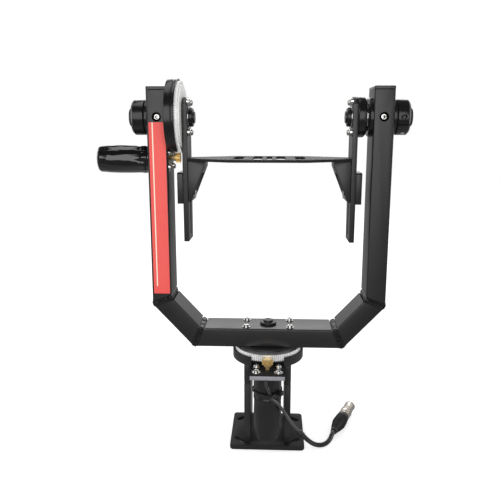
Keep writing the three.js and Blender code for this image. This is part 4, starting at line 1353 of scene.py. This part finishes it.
@dataclass
class Yoke(Assembly):
    """Five lengths of rectangular tube welded to a U, with the tilt drive and all that is fixed to them."""

    tube_width: float = 30.0
    tube_depth: float = 55.0
    tube_wall: float = 3.0
    tube_corner: float = 2.4
    half_width: float = 180.0
    upright_middle: float = 165.0
    half_foot: float = 117.5
    bar_bottom: float = 160.5
    bar_top: float = 190.5
    knee: float = 228.5
    top: float = 552.0
    bead_width: float = 7.8
    bead_height: float = 1.7
    bead_pitch: float = 5.4
    bead_rings: int = 12
    weld_gap: float = 5.3
    cap_height: float = 5.5
    label_low: Point = (-177.0, 246.8)
    label_high: Point = (-152.2, 506.4)
    grub_depth: float = 19.6
    bar_bolt_x: float = 34.5
    bar_bolt_y: float = 17.0
    drive_bolt_y: float = 11.0
    front: Matrix = field(default_factory=lambda: Matrix(((1, 0, 0, 0), (0, 0, -1, 0), (0, 1, 0, 0), (0, 0, 0, 1))))

    def line(self) -> list[Vector]:
        """Gives the U's outer line as (x, z) from the left top to the right top."""
        left = [(-self.half_width, self.top), (-self.half_width, self.knee), (-self.half_foot, self.bar_bottom)]
        return [Vector(point) for point in left] + [Vector((-x, z)) for x, z in reversed(left)]

    def inset(self, index: int, distance: float) -> Vector:
        """Gives a corner of the line when every side moves inwards.

        Args:
            index: Which corner.
            distance: How far the sides move.

        Returns:
            The moved corner.
        """
        line = self.line()
        pairs = [(i, i + 1) for i in (index - 1, index) if 0 <= i and i + 1 < len(line)]
        ways = [(line[end] - line[start]).normalized() for start, end in pairs]
        normals = [Vector((-way.y, way.x)) for way in ways]
        first, second = normals[0], normals[-1]
        return line[index] + (first + second) / (1 + first.dot(second)) * distance

    def tube(self, index: int, *tools: Shape) -> Shape:
        """Mitres one length of hollow tube with round long edges.

        Args:
            index: Which length, from the left upright to the right one.
            tools: What is cut out of it.

        Returns:
            The tube.
        """
        line = self.line()
        along = (line[index + 1] - line[index]).normalized()
        gap, half, wall = along * self.weld_gap, self.tube_depth / 2, self.tube_wall

        def outline(near: float, start: Vector, end: Vector) -> list[Vector]:
            """Gives the length's outline, set in from both sides and cut back at both ends."""
            far = self.tube_width - near
            return [
                self.inset(index, near) + start, self.inset(index + 1, near) - end,
                self.inset(index + 1, far) - end, self.inset(index, far) + start,
            ]  # fmt: skip

        skin = prism(outline(0, gap if index > 0 else gap * 0, gap if index < 4 else gap * 0), -half, half)
        long_edges = []
        for edge in skin.edges:
            span = (edge.verts[1].co - edge.verts[0].co).normalized()
            if abs(span.x * along.x + span.y * along.y) > 0.99:
                long_edges.append(edge)
        bevel(skin, long_edges, self.tube_corner, 4)
        room = prism(outline(wall, -along, -along), wall - half, half - wall)
        return carved(placed(skin, self.front), placed(room, self.front), *tools)

    def upright_tools(self, side: int) -> list[Shape]:
        """Gives the tools for an upright's cross bore and for the flared hole over its grub screw.

        Args:
            side: -1 for the left upright and 1 for the right one.

        Returns:
            The cutting tools.
        """
        bore = placed(ring(0, 20.3, 148, 182, 72), side_frame(side))
        flare = turned([(0, 22), (6.5, 22), (6.5, 27), (7.1, 27.6), (7.1, 30), (0, 30)], 48)
        return [bore, placed(flare, shift(side * self.upright_middle, 0, TILT_HEIGHT), self.front)]

    def tubes(self) -> None:
        """Makes the five tubes."""
        motor = placed(ring(0, GEARBOX_RADIUS + 0.3, 153, 182, 72), side_frame(-1) @ shift(0, -MOTOR_REACH, 0))
        pinion = placed(ring(0, OUTPUT_BORE, 148, 154, 72), side_frame(-1) @ shift(0, -PINION_REACH, 0))
        shaft = ring(0, SHAFT_BORE, self.bar_bottom - 2, self.bar_top + 2, 72)
        lengths = (
            ("left_upright", [*self.upright_tools(-1), motor, pinion]), ("left_diagonal", []), ("bottom_bar", [shaft]),
            ("right_diagonal", []), ("right_upright", self.upright_tools(1)),
        )  # fmt: skip
        for index, (name, tools) in enumerate(lengths):
            self.fit(f"{name}_tube", self.tube(index, *tools), POWDER_COAT, "yoke", [name])

    def welds(self) -> None:
        """Fills the four mitre gaps, each with a sunk root and a rippled bead."""
        # The roots, seen in the slits beside each bead, carry the same darker coat as painted shade; they also close
        # the view into the tubes.
        beads = [shape for index in (1, 2, 3, 4) for shape in (self.root(index), self.bead(index))]
        self.fit("weld_beads", joined(beads), WELD_COAT_PAINTED_SHADE, "yoke", sharp=40)

    def mitre(self, index: int) -> tuple[float, Matrix]:
        """Gives the place of a mitre.

        Args:
            index: Which corner of the line.

        Returns:
            The mitre's length across the tube, and its frame: local X across, Y along the depth and Z square to it.
        """
        outer, inner = self.inset(index, 0), self.inset(index, self.tube_width)
        way, middle = (inner - outer).normalized(), (inner + outer) / 2
        columns = ((way.x, 0, -way.y, middle.x), (0, 1, 0, 0), (way.y, 0, way.x, middle.y), (0, 0, 0, 1))
        return (inner - outer).length, Matrix(columns)

    def root(self, index: int) -> Shape:
        """Makes the filling under one bead, which lies 1.4 mm below the tube's faces.

        Args:
            index: Which corner of the line.

        Returns:
            The closed filling.
        """
        width, where = self.mitre(index)
        outline = rounded_rectangle(width - 2.8, self.tube_depth - 2.8, self.tube_corner)
        return placed(prism(outline, -6.4, 6.4), where)

    def bead(self, index: int) -> Shape:
        """Raises one bead round a mitre, as crescents that overlap like scales.

        Args:
            index: Which corner of the line.

        Returns:
            The closed bead.
        """
        width, where = self.mitre(index)
        corners = rounded_rectangle(width, self.tube_depth, self.tube_corner)
        outline = []
        for here, there in zip(corners, corners[1:] + corners[:1]):
            run = Vector(there) - Vector(here)
            steps = max(1, round(run.length / 0.7))
            outline += [tuple(Vector(here) + run * step / steps) for step in range(steps)]
        half = self.bead_width / 2
        shape = prism(outline, -half, half)
        walls = [e for e in shape.edges if abs(e.verts[0].co.z - e.verts[1].co.z) > half]
        bmesh.ops.subdivide_edges(shape, edges=walls, cuts=self.bead_rings, use_grid_fill=True)
        reach = Vector((width / 2, self.tube_depth / 2)) - Vector((self.tube_corner, self.tube_corner))
        for vertex in shape.verts:
            spot = Vector(vertex.co.xy)
            core = Vector((max(-reach.x, min(reach.x, spot.x)), max(-reach.y, min(reach.y, spot.y))))
            share = 1 - (vertex.co.z / half) ** 2
            wander = noise.noise(vertex.co * 0.11 + Vector((index * 7.0, 0, 0)))
            ripple = ((spot.x + spot.y) / self.bead_pitch + 0.45 * share + 0.8 * wander) % 1.0
            crest = self.bead_height * (0.25 if spot.x < -reach.x else 1.0)
            lift = crest * math.sqrt(max(0.0, share)) * (0.2 + 0.8 * ripple**0.7) - 0.25
            if (spot - core).length > 1e-6:
                spot += (spot - core).normalized() * lift
                vertex.co.xy = spot
        return placed(shape, where)

    def caps(self) -> None:
        """Pushes a moulded cap into each upright."""
        for side, name in SIDES:
            lid = prism(rounded_rectangle(self.tube_width, self.tube_depth, 2.2), 0.2, self.cap_height)
            cap = joined([softened(lid, 1.1, 3), block((-11.5, -24, -8), (11.5, 24, 0.6))])
            cap = placed(cap, shift(side * self.upright_middle, 0, self.top))
            self.fit(f"{name}_end_cap_lid", cap, MOULDED, "yoke", [f"{name}_end_cap"])

    def label(self) -> None:
        """Sticks the bare red label with its plain white stripe on the left upright."""
        low, high = Vector(self.label_low), Vector(self.label_high)
        size, middle = high - low, (low + high) / 2
        shape = plate(rounded_rectangle(size.x, size.y, 0.8), [], 0.3, 0.08)
        shape = placed(shape, self.front @ shift(middle.x, middle.y, self.tube_depth / 2 - 0.05))
        vinyl = LabelVinyl()
        self.fit("red_label", shape, vinyl.base, "yoke", material=vinyl.material())

    def screws(self) -> None:
        """Fits the grub screws, the bar's screws and the cap nut."""
        grub = Screw(5.9, 6.0, Recess.HEX, 3.1, 3.4, dome=0.9)
        places = [(side * self.upright_middle, TILT_HEIGHT, self.grub_depth) for side in (-1, 1)]
        self.fit("grub_screws", grub.row(places, self.front), NICKEL, "yoke")
        button = Screw(4.6, 3.6, Recess.HEX, 1.9, 1.8, dome=0.6, washer_radius=6.2, washer_height=1.1)
        places = bolt_places(self.bar_bolt_x, self.bar_bolt_y, self.bar_top)
        self.fit("bar_screws", button.row(places), NICKEL, "yoke")
        places = bolt_places(MOTOR_BOLT_X, self.drive_bolt_y, 0, -MOTOR_REACH)
        self.fit("tilt_drive_screws", DRIVE_SCREW.row(places, TILT_FRAME), NICKEL, "yoke")
        profile = [
            (0, 0), (13, 0), (13, 3.3), (12.2, 4.2), (7.8, 4.2), (7.8, 6.7), (7, 7.5), (3.4, 7.5), (3, 7.0), (0, 7.0),
        ]  # fmt: skip
        nut = placed(softened(turned(profile, 64), 0.2), shift(0, 0, self.bar_top))
        self.fit("pan_shaft_nut", nut, TURNED_BLACK_PAN, "yoke", ["pan_cap_nut"])

    def housing(self, name: str, where: Matrix, radius: float, flange: float) -> None:
        """Turns one flanged bearing housing.

        Args:
            name: The CAD node that it replaces.
            where: Its frame, with the tube's wall at Z = 0.
            radius: The flange's radius.
            flange: The flange's thickness.
        """
        profile = [
            (17.8, -10), (20, -10), (20, 0), (radius, 0), (radius, flange - 1.6), (radius - 1.6, flange),
            (22, flange), (21.4, flange - 0.4), (20.4, flange - 0.4), (19.8, flange), (14, flange),
            (14, flange - 2), (17.8, flange - 2),
        ]  # fmt: skip
        shape = placed(turned(profile, 96, closed=True), where)
        self.fit(f"{name}_ring", shape, TURNED_BLACK_TILT, "yoke", [name])

    def build(self) -> None:
        """Builds the whole yoke."""
        self.tubes()
        self.welds()
        self.caps()
        self.label()
        self.screws()
        for side, name in SIDES:
            self.housing(f"{name}_outer_housing", side_frame(side) @ shift(0, 0, self.half_width), 26.5, 5)
        inner_face = self.half_width - self.tube_width
        self.housing("right_inner_housing", side_frame(1) @ shift(0, 0, inner_face) @ about("Y", 180), 28.5, 5.6)
        DriveModule(
            "tilt", TILT_FRAME, "yoke", "cradle", TURNED_BLACK_TILT, BRIGHT_TILT, STEEL_TILT, BRIGHT_TILT,
            flange_radius=47.0, stack=21.0,
        ).build()  # fmt: skip
        WrappedMotor(
            "tilt_motor_sleeve", TILT_FRAME @ shift(0, -MOTOR_REACH, -self.tube_wall), "yoke",
            ("tilt_gearbox", "tilt_motor"), GLOSS_FILM,
            motor_length=69.0, creases=1.5, flap_angle=100.0, flap_width=25.0, end_round=4.5,
        ).build()  # fmt: skip
        self.dress(STEEL_PAN, "pan_shaft")
        self.dress(TURNED_BLACK_PAN, "pan_retainer")
        self.dress(STEEL_TILT, "left_outer_bearing", "right_outer_bearing", "right_inner_bearing")


# The cradle


@dataclass
class Cradle(Assembly):
    """The two slotted arms and all that turns with them on the tilt axis."""

    arm_inner: float = 121.5
    arm_thickness: float = 7.5
    arm_width: float = 46.0
    arm_top: float = 29.5
    arm_drop: float = 186.0
    arm_corner: float = 2.0
    arm_bolt_y: float = 12.0
    arm_bolt_z: float = 22.0
    slot_width: float = 10.0
    slot_top: float = 65.5
    slot_bottom: float = 177.0
    hub_start: float = 129.0
    hub_end: float = 141.4
    spacer_end: float = 144.1
    collar_start: float = 185.3
    collar_length: float = 19.2
    collar_radius: float = 26.0
    collar_chamfer: float = 3.0
    split_turn: float = 180 / 7
    half_split: float = 0.7
    clamp_turn: float = 65.0

    def arms(self) -> None:
        """Cuts the two arms, with round heads and a long slot each."""
        half, corner = self.arm_width / 2, self.arm_corner
        shoulder = math.degrees(math.acos(half / self.arm_top))
        foot = [
            point
            for x, start in ((-half + corner, 180), (half - corner, 270))
            for point in arc((x, corner - self.arm_drop), corner, start, start + 90, 4)
        ]
        outline = foot + arc((0, 0), self.arm_top, shoulder, 180 - shoulder, 32)
        run = self.slot_bottom - self.slot_top - self.slot_width
        slot = slot_hole(0, -(self.slot_bottom + self.slot_top) / 2, run, self.slot_width, 90)
        hole = arc((0, 0), SHAFT_BORE, 0, 352.5, 47)
        for start, name in ((-self.arm_inner - self.arm_thickness, "left_arm"), (self.arm_inner, "right_arm")):
            shape = placed(plate(outline, [slot, hole], self.arm_thickness, 0.6), side_frame(1) @ shift(0, 0, start))
            self.fit(f"{name}_strap", shape, POWDER_COAT, "cradle", [name])

    def arm_hardware(self) -> None:
        """Fits the two-step cap nuts, their bright washers and the arm screws."""
        screw = Screw(5.0, 3.6, Recess.HEX, 2.3, 2.0, dome=0.55, washer_radius=6.6, washer_height=1.2)
        profile = [
            (0, 1.5), (13.4, 1.5), (14, 2.1), (14, 6.2), (13, 7.2), (8.9, 7.2), (8.9, 9.0), (8.3, 9.5), (0, 9.5),
        ]  # fmt: skip
        for side, name in SIDES:
            where = side_frame(side) @ shift(0, 0, self.arm_inner) @ about("Y", 180)
            nut = placed(softened(turned(profile, 72), 0.2), where)
            self.fit(f"{name}_cap_nut", nut, TURNED_BLACK_TILT, "cradle", [f"{name}_shaft_nut"])
            washer = placed(softened(ring(6.3, 16.8, 0, 1.45, 72), 0.2), where)
            self.fit(f"{name}_bright_washer", washer, STEEL_TILT, "cradle")
            screws = screw.row(bolt_places(self.arm_bolt_y, self.arm_bolt_z), where)
            self.fit(f"{name}_arm_screws", screws, NICKEL, "cradle")

    def right_stack(self) -> None:
        """Turns the right hub and its bright spacer."""
        start, end = self.hub_start, self.hub_end
        profile = [
            (SHAFT_BORE, start), (28.5, start), (29.5, start + 1), (29.5, 138.6), (26.7, end), (SHAFT_BORE, end),
        ]  # fmt: skip
        hub = placed(softened(turned(profile, 96, closed=True), 0.25), side_frame(1))
        self.fit("right_arm_hub", hub, TURNED_BLACK_TILT, "cradle", ["right_hub"])
        spacer = placed(softened(ring(SHAFT_BORE, 20.5, end, self.spacer_end, 96), 0.2), side_frame(1))
        self.fit("right_bright_spacer", spacer, STEEL_TILT, "cradle", ["right_spacer"])

    def collar(self, side: int, name: str, angle: float) -> None:
        """Turns one split clamp collar with its closed boss, socket hole and clamp screw.

        Args:
            side: -1 for the left collar and 1 for the right one.
            name: The CAD node that it replaces.
            angle: The socket hole's direction in degrees, in the side's frame.
        """
        start, radius = self.collar_start, self.collar_radius
        end = start + self.collar_length
        profile = [
            (0, end + 0.3), (SHAFT_BORE, end + 0.3), (SHAFT_BORE, start), (radius - 1, start), (radius, start + 1),
            (radius, end - self.collar_chamfer), (radius - self.collar_chamfer, end), (14.7, end), (14.1, end - 0.7),
            (13.5, end - 0.7), (13.5, end + 4), (12.5, end + 5), (4, end + 5), (3.4, end + 4.5), (0, end + 4.5),
        ]  # fmt: skip
        cut = block((9, -self.half_split, start - 1), (radius + 2, self.half_split, end + 1))
        split = placed(cut, about("Z", angle + self.split_turn))
        along = shift(0, 0, start + self.collar_length / 2) @ about("Y", 90)
        socket = turned([(0, radius - 9), (3.1, radius - 9), (3.1, radius - 0.8), (4, radius + 2), (0, radius + 2)], 36)
        shape = softened(carved(turned(profile, 128), split, placed(socket, about("Z", angle), along)), 0.3)
        self.fit(f"{name}_body", placed(shape, side_frame(side)), TURNED_BLACK_TILT, "cradle", [name])
        seat = (side_frame(side), about("Z", angle + side * self.clamp_turn), along, shift(0, 0, radius - 1.3))
        screw = placed(Screw(3.2, 1.8, Recess.HEX, 1.0, 0.8, dome=0.7).shape(), *seat)
        self.fit(f"{name}_screw", screw, NICKEL, "cradle")

    def build(self) -> None:
        """Builds the whole cradle."""
        self.arms()
        self.arm_hardware()
        self.right_stack()
        self.collar(-1, "left_clamp_collar", 155)
        self.collar(1, "right_clamp_collar", 180)
        self.dress(STEEL_TILT, "left_shaft", "right_shaft")


# The camera platform


@dataclass
class Platform(Assembly):
    """The slotted plate, its two gussets and the clamps that hold them on the arms."""

    half_length: float = 121.2
    half_depth: float = 63.0
    half_end: float = 25.0
    half_straight: float = 55.0
    top: float = 454.0
    thickness: float = 4.0
    slots: tuple[Place, ...] = (
        (0.0, 8.4, 92.0), (-17.5, 14.0, 96.0), (17.5, 14.0, 96.0), (-46.5, 15.0, 80.0), (46.5, 15.0, 80.0),
    )  # fmt: skip
    clamp_face: float = 117.2
    clamp_levels: tuple[tuple[str, float], ...] = (("lower", 399.0), ("upper", 417.0))

    def node_copy(self, node: str, width: float, crown: float = 0.0) -> Shape:
        """Copies a CAD node, merges its triangles into faces and rounds its edges.

        Args:
            node: The node to copy.
            width: The rounding.
            crown: The larger rounding of the top's front and back edges.

        Returns:
            The copy in millimetres.
        """
        shape = bmesh.new()
        shape.from_mesh(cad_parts[node].data)
        bmesh.ops.scale(shape, verts=shape.verts[:], vec=(1 / MM, 1 / MM, 1 / MM))
        bmesh.ops.remove_doubles(shape, verts=shape.verts[:], dist=1e-3)
        bmesh.ops.dissolve_limit(shape, angle_limit=math.radians(1), verts=shape.verts[:], edges=shape.edges[:])
        if crown:
            top = max(vertex.co.z for vertex in shape.verts)
            rims = []
            for edge in shape.edges:
                span = edge.verts[1].co - edge.verts[0].co
                if min(vertex.co.z for vertex in edge.verts) > top - 0.01 and abs(span.x) > abs(span.y):
                    rims.append(edge)
            bevel(shape, rims, crown, 6)
        return softened(shape, width)

    def deck(self) -> None:
        """Cuts the camera plate with its five slots."""
        length, depth, end, straight = self.half_length, self.half_depth, self.half_end, self.half_straight
        outline = [
            (length, -end), (length, end), (straight, depth), (-straight, depth),
            (-length, end), (-length, -end), (-straight, -depth), (straight, -depth),
        ]  # fmt: skip
        holes = [slot_hole(x, 0, run - width, width, 90) for x, width, run in self.slots]
        shape = placed(plate(outline, holes, self.thickness, 0.6), shift(0, 0, self.top - self.thickness))
        self.fit("slotted_camera_plate", shape, MATT_COAT, "platform", ["camera_platform"])

    def brackets(self) -> None:
        """Rounds the gussets and clamp plates, and fits their socket screws."""
        for side, name in SIDES:
            gusset = self.node_copy(f"{name}_gusset", 0.8)
            self.fit(f"{name}_gusset_bracket", gusset, POWDER_COAT, "platform", [f"{name}_gusset"])
            clamp = self.node_copy(f"{name}_clamp_plate", 0.7, 3.6)
            self.fit(f"{name}_clamp_bar", clamp, POWDER_COAT, "platform", [f"{name}_clamp_plate"])
            for level, height in self.clamp_levels:
                head = Screw(6.5, 5.0, Recess.HEX, 2.9, 2.6, dome=0.12).shape()
                shank = turned([(0, -15.8), (3.6, -15.8), (4, -15.4), (4, 0.2), (0, 0.2)], 32)
                where = side_frame(side) @ shift(0, height - TILT_HEIGHT, self.clamp_face) @ about("Y", 180)
                bolt = placed(joined([head, shank]), where)
                self.fit(f"{name}_clamp_screw_{level}", bolt, NICKEL, "platform", [f"{name}_clamp_bolt_{level}"])

    def build(self) -> None:
        """Builds the whole platform."""
        self.deck()
        self.brackets()


def main() -> None:
    """Builds the studio and every sub-assembly."""
    logging.basicConfig(level=logging.INFO, format="%(message)s")
    studio = Studio()
    studio.build()
    for assembly in (CableRun(), BaseStand(), Yoke(), Cradle(), Platform()):
        assembly.build()


if __name__ == "__main__":
    main()
